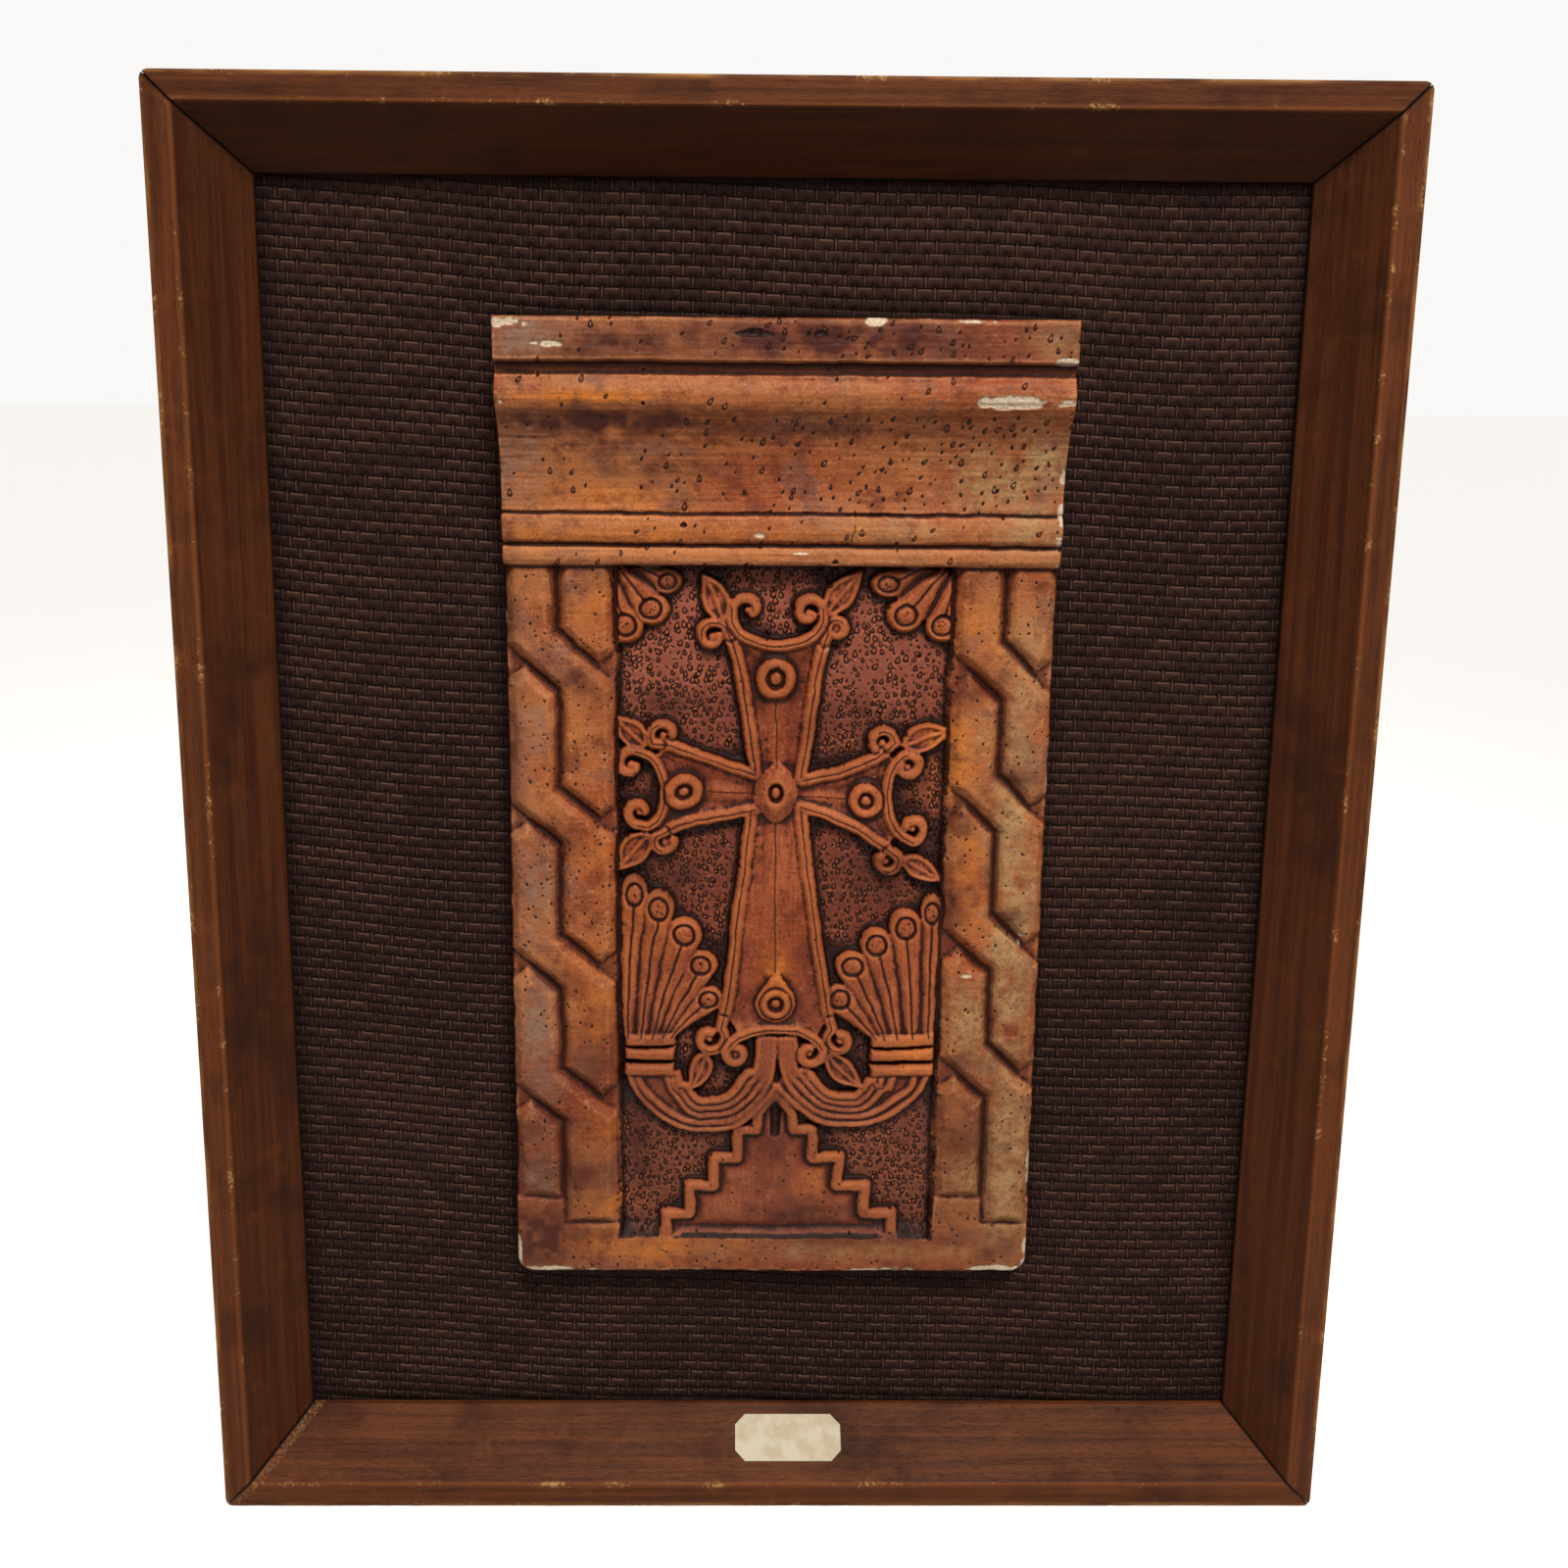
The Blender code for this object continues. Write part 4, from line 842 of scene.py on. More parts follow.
class Slab:
    """The cast stone's front: a grid of heights, and layers for where its paint is dark, dusty or gone."""

    def __init__(self, pitch):
        self.pitch = pitch
        self.columns = round(SLAB_WIDTH / pitch)
        self.rows = round(SLAB_HEIGHT / pitch)
        x = np.linspace(-SLAB_WIDTH / 2, SLAB_WIDTH / 2, self.columns + 1)
        z = np.linspace(0, SLAB_HEIGHT, self.rows + 1)
        self.x, self.z = np.meshgrid(x, z)
        self.up = self.z + SLAB_FOOT
        self.layers = {}
        self.carve()
        self.pit()
        self.wear()
        self.colour()

    def random(self, size, seed, size_down=None):
        return rough_field(self.x.shape, self.pitch, size, seed, size_down)

    def soften(self, values, millimetres):
        return softened(values, millimetres / self.pitch)

    def carve(self):
        drift_x = 0.35 * self.random(18, 1) + 0.18 * self.random(5, 2) + 0.09 * self.random(1.7, 5)
        drift_z = 0.35 * self.random(18, 3) + 0.18 * self.random(5, 4) + 0.09 * self.random(1.7, 6)
        x, z = self.x + drift_x, self.up + drift_z
        edge = SLAB_WIDTH / 2
        self.heights = np.full(x.shape, FIELD_FLOOR)
        ink = np.zeros(x.shape)
        field = Carving(x, z, self.heights, FIELD_FLOOR, ink)
        carve_steps(field)
        carve_wings(field)
        carve_cross(field)
        sill = z < SLAB_FOOT + FIELD_FOOT
        cornice = self.z > FIELD_TOP
        self.in_field = (x > FIELD_SIDES[0]) & (x < FIELD_SIDES[1]) & ~cornice & ~sill
        self.ground = self.in_field & (self.heights < FIELD_FLOOR + 0.3)
        sill_height = FIELD_FLOOR + BRAID_RISE - SILL_DROP
        ledge = sill_height - LEDGE_SLOPE * np.clip(z - SLAB_FOOT - FIELD_FOOT, 0, None)
        inside = (x > FIELD_SIDES[0]) & (x < FIELD_SIDES[1]) & ~cornice
        self.heights = np.where(inside, np.maximum(self.heights, ledge), self.heights)
        field.heights = self.heights
        self.heights[sill] = sill_height
        carve_border(field, -edge, FIELD_SIDES[0], LEFT_BRAID_MIDDLE, LEFT_CROSSINGS)
        carve_border(field, FIELD_SIDES[1], edge, RIGHT_BRAID_MIDDLE, RIGHT_CROSSINGS)
        self.heights += ~self.in_field * (self.soften(self.heights, 0.35) - self.heights)
        profile = cornice_profile()
        out = np.interp(self.up + 0.6 * drift_z, profile[:, 0], profile[:, 1])
        self.heights[cornice] = out[cornice]
        self.in_cornice = cornice
        self.heights = self.soften(self.heights, 0.3)
        self.layers["ink"] = ink
        self.layers["field"] = self.soften(self.in_field * 1.0, 0.6)

    def scatter(self, count, seed, where, spacing):
        """Random places, likelier where the map where is high, with about spacing between them."""
        draw = np.random.default_rng(seed)
        kept, taken = [], set()
        xs = draw.uniform(-SLAB_WIDTH / 2, SLAB_WIDTH / 2, count)
        zs = draw.uniform(0, SLAB_HEIGHT, count)
        for x, z, chance in zip(xs, zs, draw.random(count)):
            row, column = int(z / self.pitch), int((x + SLAB_WIDTH / 2) / self.pitch)
            cell = (round(x / spacing), round(z / spacing))
            near = {(cell[0] + i, cell[1] + j) for i, j in ((0, 0), (1, 0), (-1, 0), (0, 1), (0, -1))}
            if where[row, column] > chance and not near & taken:
                taken.add(cell)
                kept.append((x, z))
        return kept

    def dent(self, x, z, half_width, half_height, depth, lean=0.0, ring=False):
        """A small hollow, narrow at the top, or only its outline as a ring."""
        reach = max(half_width, half_height) * 1.6 + 0.3
        low_row = max(int((z - reach) / self.pitch), 0)
        low_column = max(int((x - reach + SLAB_WIDTH / 2) / self.pitch), 0)
        count = int(2 * reach / self.pitch) + 2
        window = (slice(low_row, low_row + count), slice(low_column, low_column + count))
        across, up = self.x[window] - x, self.z[window] - z
        turned = across * cos(lean) + up * sin(lean)
        along = up * cos(lean) - across * sin(lean)
        taper = 1 - 0.35 * np.clip(along / half_height, -1, 1)
        share = np.hypot(turned / (half_width * taper), along / half_height)
        if ring:
            hollow = np.exp(-(((share - 1) * half_width / RING_LINE) ** 2))
        else:
            hollow = np.clip(1 - share**2, 0, 1) ** 0.6
        self.heights[window] -= depth * hollow
        self.layers["pits"][window] = np.maximum(self.layers["pits"][window], np.clip(1.3 * hollow, 0, 1))

    def punch_ground(self):
        """Close, uneven marks over the whole ground: drop-shaped rings, small dents and slanting nicks."""
        draw = np.random.default_rng(12)
        inside = self.soften(self.ground * 1.0, 0.5)
        for row, z in enumerate(np.arange(FIELD_FOOT, FIELD_TOP, MARK_ROWS)):
            for x in np.arange(FIELD_SIDES[0], FIELD_SIDES[1], MARK_COLUMNS) + 0.5 * MARK_COLUMNS * (row % 2):
                jump_x, jump_z, lean = draw.normal(0, 0.34), draw.normal(0, 0.38), draw.normal(0, 0.4)
                size, kind, depth = draw.uniform(0.65, 1.3), draw.random(), draw.uniform(0.3, 0.5)
                at_x, at_z = x + jump_x, z + jump_z
                column = min(int((at_x + SLAB_WIDTH / 2) / self.pitch), self.columns)
                if inside[int(at_z / self.pitch), column] < 0.75 or kind > 0.93:
                    continue
                if kind < 0.58:
                    self.dent(at_x, at_z, 0.46 * size, 0.74 * size, depth, lean, ring=True)
                elif kind < 0.78:
                    self.dent(at_x, at_z, 0.33 * size, 0.55 * size, depth, lean)
                else:
                    self.dent(at_x, at_z, 0.2, 0.85 * size, depth, lean + 0.8)

    def pit(self):
        """Marks on the ground, small pits on the straps, and slanting pits on the cornice."""
        self.layers["pits"] = np.zeros(self.x.shape)
        self.punch_ground()
        draw = np.random.default_rng(11)
        scoops = self.in_field & ~self.ground
        for x, z in self.scatter(1500, 15, scoops * 0.3, 1.6):
            self.dent(x, z, draw.uniform(0.2, 0.34), draw.uniform(0.25, 0.5), draw.uniform(0.1, 0.25))
        band = (~self.in_field & ~self.in_cornice) * np.clip(0.4 + 0.8 * self.random(8, 21), 0.03, 1)
        for x, z in self.scatter(8000, 22, band, 1.15):
            size = draw.uniform(0.13, 0.42)
            self.dent(x, z, size, size * draw.uniform(1.0, 1.9), 0.9 * size, draw.normal(0.2, 0.6))
        base = (self.up > -117) & (self.up < -78) & (np.abs(self.x - 1.5) < (-72 - self.up) * 0.75)
        for x, z in self.scatter(2500, 24, base * scoops * 0.6, 1.2):
            self.dent(x, z, draw.uniform(0.25, 0.5), draw.uniform(0.25, 0.5), draw.uniform(0.15, 0.35))
        right = np.clip((self.x + 35) / 70, 0.05, 1)
        hollow = (self.up > 92.5) & (self.up < 117)
        fillet = (self.up > 131.2) & (self.up < 140.2)
        streaky = right * (0.8 * hollow + 1.0 * fillet) + 0.12 * self.in_cornice
        for x, z in self.scatter(5200, 32, streaky, 1.6):
            size = draw.uniform(0.7, 1.3)
            ring = draw.random() < 0.35
            self.dent(x, z, 0.36 * size, 0.66 * size, draw.uniform(0.25, 0.4), draw.normal(-0.35, 0.3), ring)
        for _, (head_x, head_up), half_width, half_height, _ in WINGS + PALMETTES:
            for _ in range(6):
                far, angle = draw.uniform(0, 0.42), draw.uniform(0, 2 * pi)
                x = head_x + far * half_width * cos(angle)
                z = head_up - SLAB_FOOT + far * half_height * sin(angle)
                self.dent(x, z, draw.uniform(0.18, 0.32), draw.uniform(0.2, 0.45), 0.3, draw.normal(0, 0.6))
        for x, up, half_width, half_height in HOLES:
            self.dent(x, up - SLAB_FOOT, half_width, half_height, 0.8)

    def patches(self, spots, seed, ragged=0.5):
        """Soft spots, broken up by noise."""
        total = np.zeros(self.x.shape)
        for x, up, half_width, half_height, strength in spots:
            far = ((self.x - x) / half_width) ** 2 + ((self.up - up) / half_height) ** 2
            total = np.maximum(total, strength * np.exp(-(far**1.2)))
        return total * (1 + ragged * (self.random(5, seed) + 0.6 * self.random(1.7, seed + 1)))

    def wear(self):
        self.heights += 0.10 * self.random(22, 41) + 0.07 * self.random(6, 42) + 0.06 * self.random(1.8, 43)
        self.heights += 0.035 * self.random(0.7, 47)
        self.heights += self.in_cornice * (0.06 * self.random(26, 44, 0.9) + 0.04 * self.random(9, 45, 0.5))
        crack = np.exp(-(((self.x - 18.5 - 0.4 * self.random(3, 46)) / 0.2) ** 2))
        self.heights -= 0.35 * crack * ((self.up > 84) & (self.up < 92.4))
        rim = np.minimum(SLAB_WIDTH / 2 - np.abs(self.x), np.minimum(self.z, SLAB_HEIGHT - self.z))
        worn = np.clip(0.9 + 0.6 * self.random(4, 51), 0.3, 2.2)
        self.heights -= 0.6 * np.clip(1 - rim / worn, 0, 1) ** 2
        chipped = self.patches(CHIPS, 61, 0.9) + 0.12 * self.random(0.8, 63)
        chips = np.clip((chipped - 0.42) / 0.16, 0, 1)
        self.layers["chips"] = chips
        self.heights = np.clip(self.heights - 0.3 * chips, 2.0, FRONT_LIMIT)

    def colour(self):
        heights = self.heights
        fine = np.clip((self.soften(heights, 0.45) - heights) / 0.22, -1, 1)
        middle = np.clip((self.soften(heights, 1.5) - heights) / 0.7, -1, 1)
        wide = np.clip((self.soften(heights, 4.5) - heights) / 1.5, -1, 1)
        self.layers["glaze"] = np.clip(0.65 * fine + (0.15 + 0.3 * self.in_field) * middle, -1, 1)
        self.layers["hollow"] = np.clip(0.6 * middle + 0.7 * wide, -1, 1)
        raised = 1.0 * ~self.ground
        near = 0.7 * self.soften(raised, 2.2) + 0.9 * np.clip(self.soften(raised, 5.5) - 0.25, 0, 1)
        ground = self.soften(self.ground * 1.0, 0.25)
        self.layers["ground"] = ground
        self.layers["shadow"] = ground * np.clip(1.5 * near + 0.3 * self.random(7, 71) - 0.1, 0, 1)
        self.layers["amber"] = self.patches(AMBER, 81)
        self.layers["smoke_and_shade"] = self.patches(SMOKE_AND_SHADE, 84)
        self.layers["dust"] = self.patches(DUST, 87)

    def at(self, layer, x, z):
        """The layer's values at points x and z, in millimetres, z from the slab's foot."""
        column = np.clip((x + SLAB_WIDTH / 2) / self.pitch, 0, self.columns - 1e-6)
        row = np.clip(z / self.pitch, 0, self.rows - 1e-6)
        c, r = column.astype(int), row.astype(int)
        s, t = column - c, row - r
        lower = layer[r, c] * (1 - s) + layer[r, c + 1] * s
        upper = layer[r + 1, c] * (1 - s) + layer[r + 1, c + 1] * s
        return lower * (1 - t) + upper * t


def widening_at(z):
    """The slab's width there over its plain width: round corners at the foot, a flare in the cornice."""
    sunk = np.clip(FOOT_RADIUS - z, 0, FOOT_RADIUS)
    corner = FOOT_RADIUS - np.sqrt(FOOT_RADIUS**2 - sunk**2)
    flare = CORNICE_FLARE * np.clip((z - FIELD_TOP) / (SLAB_HEIGHT - FIELD_TOP), 0, 1)
    return 1 + (flare - corner) / (SLAB_WIDTH / 2)


# The stone's grid, and its pieces, cut along its own edges: left, right, foot and top
STONE_PITCH = 0.25
PIECES = {
    "cornice_left": (-73.6, -0.1, 205.5, 270.0),
    "cornice_right": (-0.1, 73.6, 205.5, 270.0),
    "border_left": (-73.6, -44.6, 10.5, 205.5),
    "border_right": (46.4, 73.6, 10.5, 205.5),
    "cross_top": (-44.6, 46.4, 159.5, 205.5),
    "cross_middle": (-44.6, 46.4, 111.5, 159.5),
    "cross_foot": (-44.6, 46.4, 61.5, 111.5),
    "steps": (-44.6, 46.4, 10.5, 61.5),
    "sill": (-73.6, 73.6, 0.0, 10.5),
}


def cast_piece(name, slab, area, finish):
    """A grid lifted to the carved heights and closed at the back."""
    left, right, foot, top = area
    columns, rows = round((right - left) / slab.pitch), round((top - foot) / slab.pitch)
    bpy.ops.object.select_all(action="DESELECT")
    bpy.ops.mesh.primitive_grid_add(x_subdivisions=columns, y_subdivisions=rows, size=1)
    stone = bpy.context.object
    stone.name = name
    mesh = stone.data
    points = points_of(mesh)
    x = left + (points[:, 0] + 0.5) * (right - left)
    z = foot + (points[:, 1] + 0.5) * (top - foot)
    out = slab.at(slab.heights, x, z)
    placed = np.stack([x * widening_at(z), -SLAB_BACK - out, SLAB_FOOT + z], 1) * MM
    mesh.vertices.foreach_set("co", placed.astype(np.float32).ravel())
    solid = bmesh.new()
    solid.from_mesh(mesh)
    for vertex in drawn_out(solid, rim_of(solid)):
        vertex.co.y = -SLAB_BACK * MM
    bmesh.ops.edgeloop_fill(solid, edges=rim_of(solid))
    bmesh.ops.recalc_face_normals(solid, faces=solid.faces)
    solid.to_mesh(mesh)
    solid.free()
    only(stone)
    bpy.ops.object.shade_smooth_by_angle(angle=radians(60))
    points = points_of(mesh) / MM
    z = np.clip(points[:, 2] - SLAB_FOOT, 0, SLAB_HEIGHT)
    x = points[:, 0] / widening_at(z)
    for layer, values in slab.layers.items():
        give_layer(mesh, layer, slab.at(values, x, z))
    give_layer(mesh, "behind", slab.at(slab.heights, x, z) + SLAB_BACK + points[:, 1])
    mesh.materials.append(finish)
    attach(stone, "root")
    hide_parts("khachkar_relief")


def cross_stone():
    slab = Slab(STONE_PITCH)
    finish = painted_stone()
    for name, area in PIECES.items():
        cast_piece(name, slab, area, finish)


def painted_stone():
    """Terracotta paint over plaster, under a dark glaze that was wiped off what stands proud."""
    finish = Finish("terracotta_paint_with_dark_glaze")
    broad = finish.noise(finish.place((34, 34, 34)), 3.0, 0.55)
    patchy = finish.noise(finish.place((7, 7, 7), (3, 0, 1)), 4.0, 0.7)
    mottled = finish.noise(finish.place((2.0, 2.0, 2.0), (0, 2, 5)), 3.0, 0.7)
    speck = finish.noise(finish.place((0.6, 0.6, 0.6)), 3.0, 0.7)
    brushed = finish.noise(finish.place((9, 4, 0.6)), 3.0, 0.65)
    streaked = finish.noise(finish.place((0.7, 4, 7)), 3.0, 0.65)
    behind = finish.layer("behind")
    face = finish.steps(behind + 1.4 * (mottled - 0.5), 1.5, 0.5)
    glaze, ground, pits, field = (face * finish.layer(name) for name in ("glaze", "ground", "pits", "field"))
    shadow, amber, smoke_and_shade, dust = (face * finish.layer(name) for name in ("shadow", "amber", "smoke_and_shade", "dust"))
    hollow, ink, chips = (face * finish.layer(name) for name in ("hollow", "ink", "chips"))
    at = finish.place()
    x, up = finish.axis(at, "X"), finish.axis(at, "Z")
    cloudy = finish.noise(finish.place((15, 15, 15), (9, 0, 4)), 3.0, 0.6)
    finish.colour = finish.mix(paint(156, 74, 42), paint(182, 112, 66), finish.steps(broad, 0.36, 0.64))
    finish.coat(paint(134, 88, 72), 0.8 * finish.steps(cloudy, 0.52, 0.64))
    varied = finish.steps(broad + 0.5 * (mottled - 0.5), 0.36, 0.64)
    red = finish.mix(paint(146, 66, 40), paint(184, 96, 60), varied)
    red = finish.mix(red, paint(112, 42, 23), 0.7 * finish.steps(streaked, 0.46, 0.66))
    finish.coat(red, 0.9 * field)
    finish.coat(paint(112, 50, 34), 0.7 * finish.steps(patchy, 0.48, 0.68))
    finish.coat(paint(204, 134, 86), 0.5 * finish.steps(brushed, 0.5, 0.72) * (1 - 0.7 * field))
    finish.coat(paint(214, 130, 74), 0.5 * finish.steps(mottled, 0.5, 0.72) * (1 - 0.5 * field))
    uneven = mottled + 0.6 * (patchy - 0.5)
    finish.coat(paint(86, 38, 26), 0.5 * finish.steps(uneven, 0.54, 0.74))
    finish.coat(paint(206, 128, 84), 0.45 * finish.steps(uneven, 0.46, 0.28))
    low_ground = finish.steps(up + 40 * (broad - 0.5), 48.0, 22.0)
    earth = finish.mix(paint(150, 84, 68), paint(104, 52, 42), low_ground)
    finish.coat(earth, 0.8 * ground)
    foot = finish.steps(up + 40 * (broad - 0.5), -30.0, -85.0)
    finish.coat(finish.mix(paint(104, 54, 38), paint(116, 72, 56), field), 0.42 * foot)
    finish.coat(paint(220, 126, 50), amber * finish.steps(patchy, 0.7, 0.4))
    crown = finish.steps(up, CROWN_FOOT, CROWN_FOOT + 1)
    finish.coat(paint(120, 70, 50), 0.35 * crown)
    fillet = finish.steps(abs(up - FILLET_MIDDLE), 3.2, 2.0)
    finish.coat(paint(196, 128, 82), 0.5 * fillet)
    dusty = finish.mix(paint(156, 118, 98), paint(186, 144, 98), finish.steps(x, -30, 30))
    finish.coat(dusty, (1.1 * dust * finish.steps(mottled, 0.8, 0.35)).clamped())
    # Red-brown glaze in the hollows, made stronger there as painted shade, such as where one strap passes
    # under another
    finish.coat(paint(92, 36, 24), 0.75 * finish.steps(hollow, 0.1, 0.6) * (1 - ground))
    lit = finish.steps(glaze + 0.6 * (speck - 0.5) + 0.8 * (mottled - 0.5), -0.1, -0.6)
    finish.coat(finish.mix(paint(222, 150, 98), paint(210, 122, 68), field), 0.42 * lit)
    # Smoky stains, and painted shade in the cornice's cove, under its fillet and in the steps' opening
    finish.coat(paint(80, 38, 29), (1.15 * smoke_and_shade).clamped())
    finish.coat(paint(22, 11, 10), 0.92 * finish.steps(shadow + 0.6 * (patchy - 0.5), 0.12, 0.85))
    dark = finish.steps(glaze + 0.3 * (patchy - 0.5) + 0.3 * (mottled - 0.5), 0.16, 0.5)
    finish.coat(paint(32, 14, 11), 0.9 * dark)
    finish.coat(paint(38, 17, 14), 0.85 * finish.steps(pits, 0.2, 0.8))
    finish.coat(paint(38, 15, 12), 0.85 * finish.steps(ink, 0.2, 0.8))
    finish.coat(paint(80, 38, 26), 0.6 * finish.steps(speck, 0.56, 0.68))
    cream = finish.mix(paint(232, 214, 188), paint(206, 176, 142), finish.steps(speck, 0.4, 0.65))
    finish.coat(cream, chips)
    finish.coat(paint(58, 28, 20), 0.7 * finish.steps(behind + 3 * (patchy - 0.5), 2.0, 9.0))
    rough = 0.28 + 0.2 * patchy + 0.3 * dust
    grit = finish.noise(finish.place((0.25, 0.25, 0.25)), 2.0)
    surface = speck * 0.7 + grit * 0.3 + brushed * 0.3 + mottled * 1.2
    return finish.shade(rough, finish.bump(surface, 0.00022, 0.9), Specular_IOR_Level=0.12)


# Cloth, in millimetres: its threads' pitch, the places of a thread's points, the wefts' slant and bend, how
# full a thread may get, and how deep the weave is
WARP_PITCH = 2.66
WEFT_PITCH = 3.02
THREAD_SIDES = (-0.70, -0.32, 0.32, 0.70)
WEFT_STEPS = (0.0, 0.14, 0.80)
WEFT_SLANT = 0.044
WEFT_BEND = 0.018
FULLEST = 1.12
WEAVE_DEPTH = 0.85

# The flat sheet's size, its back and front over the wall, and how far its margin lies under the threads' tops
CLOTH_SIZE = (286.6, 366.6)
CLOTH_BACK, CLOTH_FRONT = 5.3, 6.5
MARGIN_SUNK = 0.35

# Half the woven area, what is woven past it and then trimmed, and the flat area behind the stone: half width,
# foot and top. Rims nearer the middle than HOLE_REACH belong to that area.
OPENING = (138.6, 178.6)
OVERLAP = 4
SLANT_ROOM = 10
BEHIND_STONE = (71.5, -126, 139.5)
HOLE_REACH = (100, 160)


def woven_cloth():
    """Wide flat wefts held down by narrow warps, every other row shifted by half a repeat."""
    draw = np.random.default_rng(5)
    warps = int(OPENING[0] / WARP_PITCH) + 2
    rows = int((OPENING[1] + SLANT_ROOM) / WEFT_PITCH) + 2
    warp_at = np.arange(-warps, warps + 1)
    row_at = np.arange(-rows, rows + 1)
    sway = draw.normal(0, 0.09, len(warp_at))
    x = ((warp_at * WARP_PITCH + sway)[:, None] + np.array(THREAD_SIDES)).ravel()
    lift = draw.normal(0, 0.07, len(row_at))
    z = ((row_at * WEFT_PITCH + lift)[:, None] + np.array(WEFT_STEPS) * WEFT_PITCH).ravel()
    grid_x, grid_z = np.meshgrid(x, z)
    side = np.tile(np.arange(4), len(warp_at))[None]
    step = np.tile(np.arange(3), len(row_at))[:, None]
    warp = np.repeat(warp_at, 4)[None]
    row = np.repeat(row_at, 3)[:, None]
    on_top = (warp + row) % 2 == 0
    whole = np.ones((len(z), len(x)))
    fullness = 1 + 0.16 * draw.standard_normal((len(row_at), len(warp_at)))
    fullness = np.repeat(np.repeat(fullness, 3, 0), 4, 1)
    inner = (side == 1) | (side == 2)
    weft = np.choose(step, [0.0, 0.5, 1.0]) * np.where(inner, 1.0, 0.93)
    bar = np.where(inner, np.choose(step, [0.25, 0.72, 0.86]), np.choose(step, [0.0, 0.2, 0.3]))
    heights = np.clip(np.where(on_top, bar, weft) * fullness, 0, FULLEST)
    across = whole * (warp + np.array(THREAD_SIDES)[side] / WARP_PITCH)
    up = whole * (row + np.array(WEFT_STEPS)[step])
    drop = grid_x * (WEFT_SLANT - WEFT_BEND * grid_x / OPENING[0])
    wave = 0.5 * np.sin(grid_x / 31 + 0.6) + 0.35 * np.sin(grid_x / 13 + grid_z / 47)
    jitter = draw.normal(0, 0.05, grid_x.shape)
    out = CLOTH_FRONT - WEAVE_DEPTH * (FULLEST - heights) / FULLEST
    placed = np.stack([grid_x + 0.3 * np.sin(grid_z / 23) + jitter, -out, grid_z - drop + wave], -1) * MM
    index = np.arange(whole.size).reshape(whole.shape)
    faces = np.stack([index[:-1, :-1], index[:-1, 1:], index[1:, 1:], index[1:, :-1]], -1).reshape(-1, 4)
    centre = placed.reshape(-1, 3)[faces].mean(1) / MM
    side_reach, low, high = BEHIND_STONE
    hidden = (np.abs(centre[:, 0]) < side_reach) & (centre[:, 2] > low) & (centre[:, 2] < high)
    beyond = (np.abs(centre[:, 0]) > OPENING[0] + OVERLAP) | (np.abs(centre[:, 2]) > OPENING[1] + OVERLAP)
    mesh = bpy.data.meshes.new("woven_cloth")
    mesh.from_pydata(placed.reshape(-1, 3).tolist(), [], faces[~hidden & ~beyond].tolist())
    give_layer(mesh, "across", across)
    give_layer(mesh, "up", up)
    cloth = linked("woven_cloth", mesh)
    hem_cloth(mesh)
    mesh.materials.append(dark_cloth())
    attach(cloth, "root")
    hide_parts("woven_backing")


def hem_cloth(mesh):
    """Trims the weave to the opening, adds the flat margin behind the frame's lip, and closes the back."""
    sheet = bmesh.new()
    sheet.from_mesh(mesh)
    bmesh.ops.delete(sheet, geom=[v for v in sheet.verts if not v.link_faces], context="VERTS")
    wide, tall = OPENING
    for axis, sign, reach in ((0, 1, wide), (0, -1, wide), (2, 1, tall), (2, -1, tall)):
        normal, at = [0, 0, 0], [0, 0, 0]
        normal[axis], at[axis] = sign, sign * reach * MM
        everything = sheet.verts[:] + sheet.edges[:] + sheet.faces[:]
        bmesh.ops.bisect_plane(sheet, geom=everything, plane_co=at, plane_no=normal, clear_outer=True)
    edges = rim_of(sheet)
    reach_x, reach_z = (reach * MM for reach in HOLE_REACH)
    inner = [e for e in edges if all(abs(v.co.x) < reach_x and abs(v.co.z) < reach_z for v in e.verts)]
    outer = [e for e in edges if e not in set(inner)]
    for vertex in drawn_out(sheet, outer):
        vertex.co.x *= CLOTH_SIZE[0] / 2 / OPENING[0]
        vertex.co.z *= CLOTH_SIZE[1] / 2 / OPENING[1]
        vertex.co.y = -(CLOTH_FRONT - MARGIN_SUNK) * MM
    bmesh.ops.edgeloop_fill(sheet, edges=inner)
    for vertex in drawn_out(sheet, rim_of(sheet)):
        vertex.co.y = -CLOTH_BACK * MM
    bmesh.ops.edgeloop_fill(sheet, edges=rim_of(sheet))
    bmesh.ops.recalc_face_normals(sheet, faces=sheet.faces)
    for face in sheet.faces:
        face.smooth = True
    sheet.to_mesh(mesh)
    sheet.free()


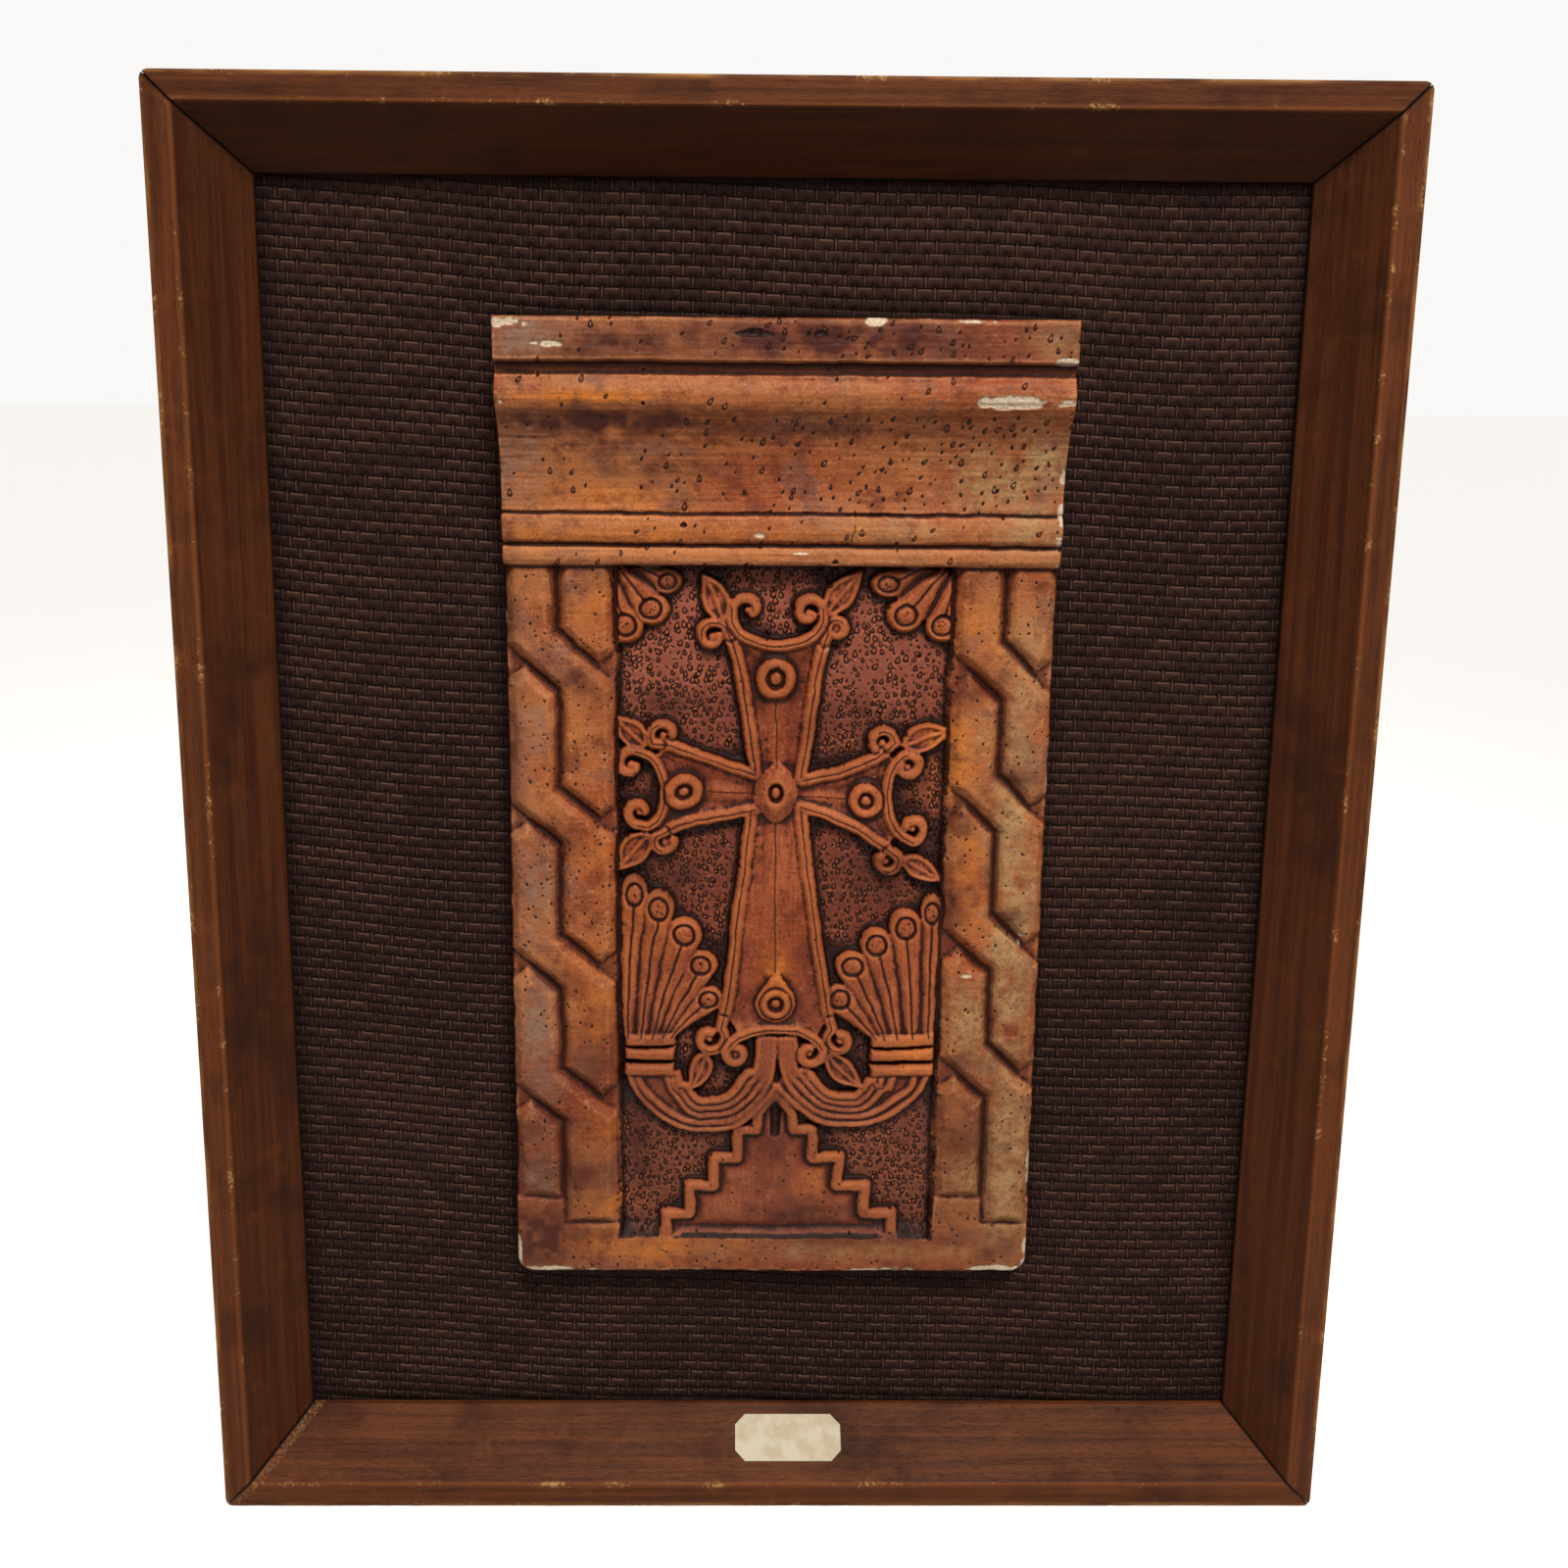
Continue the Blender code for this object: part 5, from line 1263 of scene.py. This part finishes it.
def dark_cloth():
    """Dark brown strands. The mesh carries each point's place in the weave, in warps and in wefts."""
    finish = Finish("dark_brown_weave")
    across, up = finish.layer("across"), finish.layer("up")
    row = finish.node("Math", {"operation": "FLOOR"}, {0: up})
    climb = up - row
    repeat = (across + row) / 2
    from_bar = abs(repeat - finish.node("Math", {"operation": "ROUND"}, {0: repeat}))
    bar = finish.steps(from_bar, 0.06, 0.03) * finish.steps(climb, 0.0, 0.1)
    shaded_gap = finish.steps(from_bar, 0.14, 0.08) - bar
    arch = climb + 0.09 * finish.steps(from_bar, 0.2, 0.08)
    # Painted highlight along the upper edge of each weft
    lit_crest = finish.steps(arch, 0.72, 0.80) * finish.steps(arch, 0.91, 0.86)
    lit_crest = lit_crest * finish.steps(from_bar, 0.12, 0.2)
    groove = finish.steps(arch, 0.88, 0.94) + finish.steps(climb, 0.06, 0.0)
    dip_shadow = finish.steps(climb, 0.72, 0.15) * finish.steps(from_bar, 0.16, 0.4)
    nearest = finish.node("Math", {"operation": "ROUND"}, {0: repeat - 0.5})
    number = finish.node("CombineXYZ", None, {0: nearest, 1: row})
    tone = finish.node("TexWhiteNoise", {"noise_dimensions": "2D"}, {"Vector": number})
    broad = finish.noise(finish.place((60, 60, 60)), 2.0)
    fibre = finish.noise(finish.place((1.2, 0.5, 0.2)), 3.0, 0.65)
    lint = finish.noise(finish.place((0.7, 0.7, 0.7)), 3.0, 0.65)
    faded = finish.steps(broad + 0.3 * (tone - 0.5), 0.35, 0.7)
    finish.colour = finish.mix(paint(42, 25, 21), paint(58, 38, 31), faded)
    finish.coat(paint(60, 33, 35), 0.5 * finish.steps(lint, 0.45, 0.65))
    finish.coat(paint(78, 54, 44), 0.6 * finish.steps(fibre, 0.5, 0.72))
    # Painted shadow where a weft dips over the warp of the row below
    finish.coat(paint(14, 7, 6), 0.85 * dip_shadow * finish.steps(lint, 0.8, 0.35))
    finish.coat(paint(110, 80, 66), 0.75 * lit_crest * finish.steps(lint + 0.4 * tone, 0.45, 0.95))
    finish.coat(paint(94, 66, 54), 0.75 * bar * finish.steps(lint + 0.3 * tone, 0.35, 0.8))
    # Painted shade in the grooves between the rows and beside the warps
    finish.coat(paint(8, 4, 3), 0.95 * (groove + 0.8 * shaded_gap).clamped() * (1 - bar))
    # Painted shadow on the cloth within 7 mm of the stone and of the frame
    at = finish.place()
    x, z = abs(finish.axis(at, "X")), finish.axis(at, "Z")
    from_stone = (x - SLAB_WIDTH / 2).most(abs(z - SLAB_FOOT - SLAB_HEIGHT / 2) - SLAB_HEIGHT / 2)
    from_frame = (OPENING[0] - x).least(OPENING[1] - abs(z))
    shadow_near_edges = 0.6 * finish.steps(from_stone, 7.0, 0.0) + 0.7 * finish.steps(from_frame, 7.0, 0.0)
    finish.coat(paint(8, 5, 5), shadow_near_edges.clamped())
    height = 0.6 * fibre + 0.8 * lint + 0.5 * lit_crest - 1.2 * groove
    return finish.shade(0.6 + 0.25 * fibre, finish.bump(height, 0.00025, 0.6), Specular_IOR_Level=0.08)


# Half the frame's width and height, and how far the rails' arris lies from their outer face and from the wall
FRAME_HALF = (160, 200)
ARRIS = (7.2, 24.4)


def stained_wood(name, along, shift, shade, worn_mitre):
    """Reddish brown stain on wood whose grain runs along an axis. Shade is the painted shade that darkens the
    inner slope.
    """
    finish = Finish(name)
    stretch = {"X": (90, 2.2, 2.2), "Z": (2.2, 2.2, 90)}[along]
    pore = {"X": (2.6, 0.22, 0.22), "Z": (0.22, 0.22, 2.6)}[along]
    grain = finish.noise(finish.place(stretch, shift), 4.0, 0.6, 0.4)
    fine = finish.noise(finish.place(tuple(part / 6 for part in stretch), shift), 3.0, 0.6)
    pores = finish.noise(finish.place(pore, shift), 1.0)
    stain = finish.noise(finish.place((26, 26, 26), shift), 3.0, 0.55)
    blotch = finish.noise(finish.place((9, 9, 9), shift), 4.0, 0.65)
    speck = finish.noise(finish.place((0.8, 0.8, 0.8), shift), 3.0, 0.65)
    at = finish.place()
    x, y, z = (finish.axis(at, letter) for letter in "XYZ")
    from_side, from_end = FRAME_HALF[0] - abs(x), FRAME_HALF[1] - abs(z)
    inset = from_side if along == "Z" else from_end
    depth = 0 - y
    finish.colour = finish.mix(paint(76, 38, 20), paint(112, 61, 32), finish.steps(grain, 0.3, 0.72))
    finish.coat(paint(142, 82, 42), 0.4 * finish.steps(fine, 0.5, 0.8))
    finish.coat(paint(48, 23, 14), 0.6 * finish.steps(stain, 0.5, 0.72))
    finish.coat(paint(140, 80, 42), 0.3 * finish.steps(blotch, 0.55, 0.75))
    finish.coat(paint(32, 15, 10), 0.5 * finish.steps(pores, 0.6, 0.72))
    # Painted shade on the inner slope: darkest on the top rail, none on the bottom rail
    slope = finish.steps(inset, ARRIS[0] - 0.3, ARRIS[0] + 0.6)
    finish.coat(paint(0, 0, 0), slope * shade)
    arris = finish.steps(abs(inset - ARRIS[0]) + abs(depth - ARRIS[1]), 1.5, 0.2)
    outer = finish.steps(abs(inset) + abs(depth - ARRIS[1]), 1.9, 0.3)
    rubbed = finish.steps(stain + 0.5 * fine, 0.62, 0.95)
    finish.coat(paint(140, 80, 42), 0.5 * arris)
    chipped = finish.steps(blotch + 0.7 * (speck - 0.5), 0.6, 0.72)
    finish.coat(paint(206, 158, 98), 0.85 * (arris + outer).clamped() * chipped)
    finish.coat(paint(190, 130, 68), 0.8 * outer * rubbed)
    mitre = from_side - from_end
    finish.coat(paint(20, 9, 6), 0.85 * finish.steps(abs(mitre), 1.0, 0.3))
    if worn_mitre:
        strip = finish.steps(mitre, 0.4, 0.8) * finish.steps(mitre, 4.2, 3.2) * finish.steps(x, 0.0, -1.0)
        finish.coat(paint(150, 104, 66), 0.7 * strip * finish.steps(speck, 0.42, 0.6))
    rough = 0.42 + 0.2 * grain + 0.1 * stain
    height = grain * 0.5 + fine * 0.3 - 0.6 * finish.steps(pores, 0.6, 0.72)
    return finish.shade(rough, finish.bump(height, 0.00015, 0.6), Specular_IOR_Level=0.12)


# For each rail: the grain's axis, where its pattern starts, how dark the painted shade on its inner slope is,
# and if its mitre is worn
RAILS = {
    "top": ("X", (3, 1, 7), 0.5, False),
    "bottom": ("X", (11, 5, 2), 0.0, True),
    "left": ("Z", (6, 8, 13), 0.34, False),
    "right": ("Z", (17, 2, 5), 0.3, False),
}


def dress_rails():
    for side, values in RAILS.items():
        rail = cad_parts["frame_rail_" + side]
        rail.material_slots[0].material = stained_wood("stained_wood_" + side, *values)


def dress_board():
    finish = Finish("brown_fibreboard")
    fibre = finish.noise(finish.place((1.6, 1.6, 1.6)), 4.0, 0.7, 1.5)
    cloud = finish.noise(finish.place((50, 50, 50)), 3.0)
    finish.colour = finish.mix(paint(120, 86, 56), paint(152, 116, 80), finish.steps(fibre, 0.3, 0.7))
    finish.coat(paint(92, 64, 42), 0.5 * finish.steps(cloud, 0.45, 0.7))
    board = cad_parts["backing_board"]
    board.material_slots[0].material = finish.shade(0.7 + 0.2 * fibre, finish.bump(fibre, 0.0003, 0.6))


def dress_label():
    finish = Finish("aged_cream_card")
    cloud = finish.noise(finish.place((5, 5, 5)), 3.0)
    speck = finish.noise(finish.place((0.5, 0.5, 0.5)), 2.0, 0.6)
    finish.colour = finish.mix(paint(205, 188, 158), paint(223, 210, 184), finish.steps(cloud, 0.35, 0.65))
    finish.coat(paint(160, 130, 96), 0.5 * finish.steps(speck, 0.66, 0.76))
    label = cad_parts["title_label"]
    label.material_slots[0].material = finish.shade(0.6 + 0.1 * cloud, finish.bump(speck, 0.0001, 0.4))


set_camera()
set_light()
lay_floor()
woven_cloth()
cross_stone()
dress_rails()
dress_board()
dress_label()
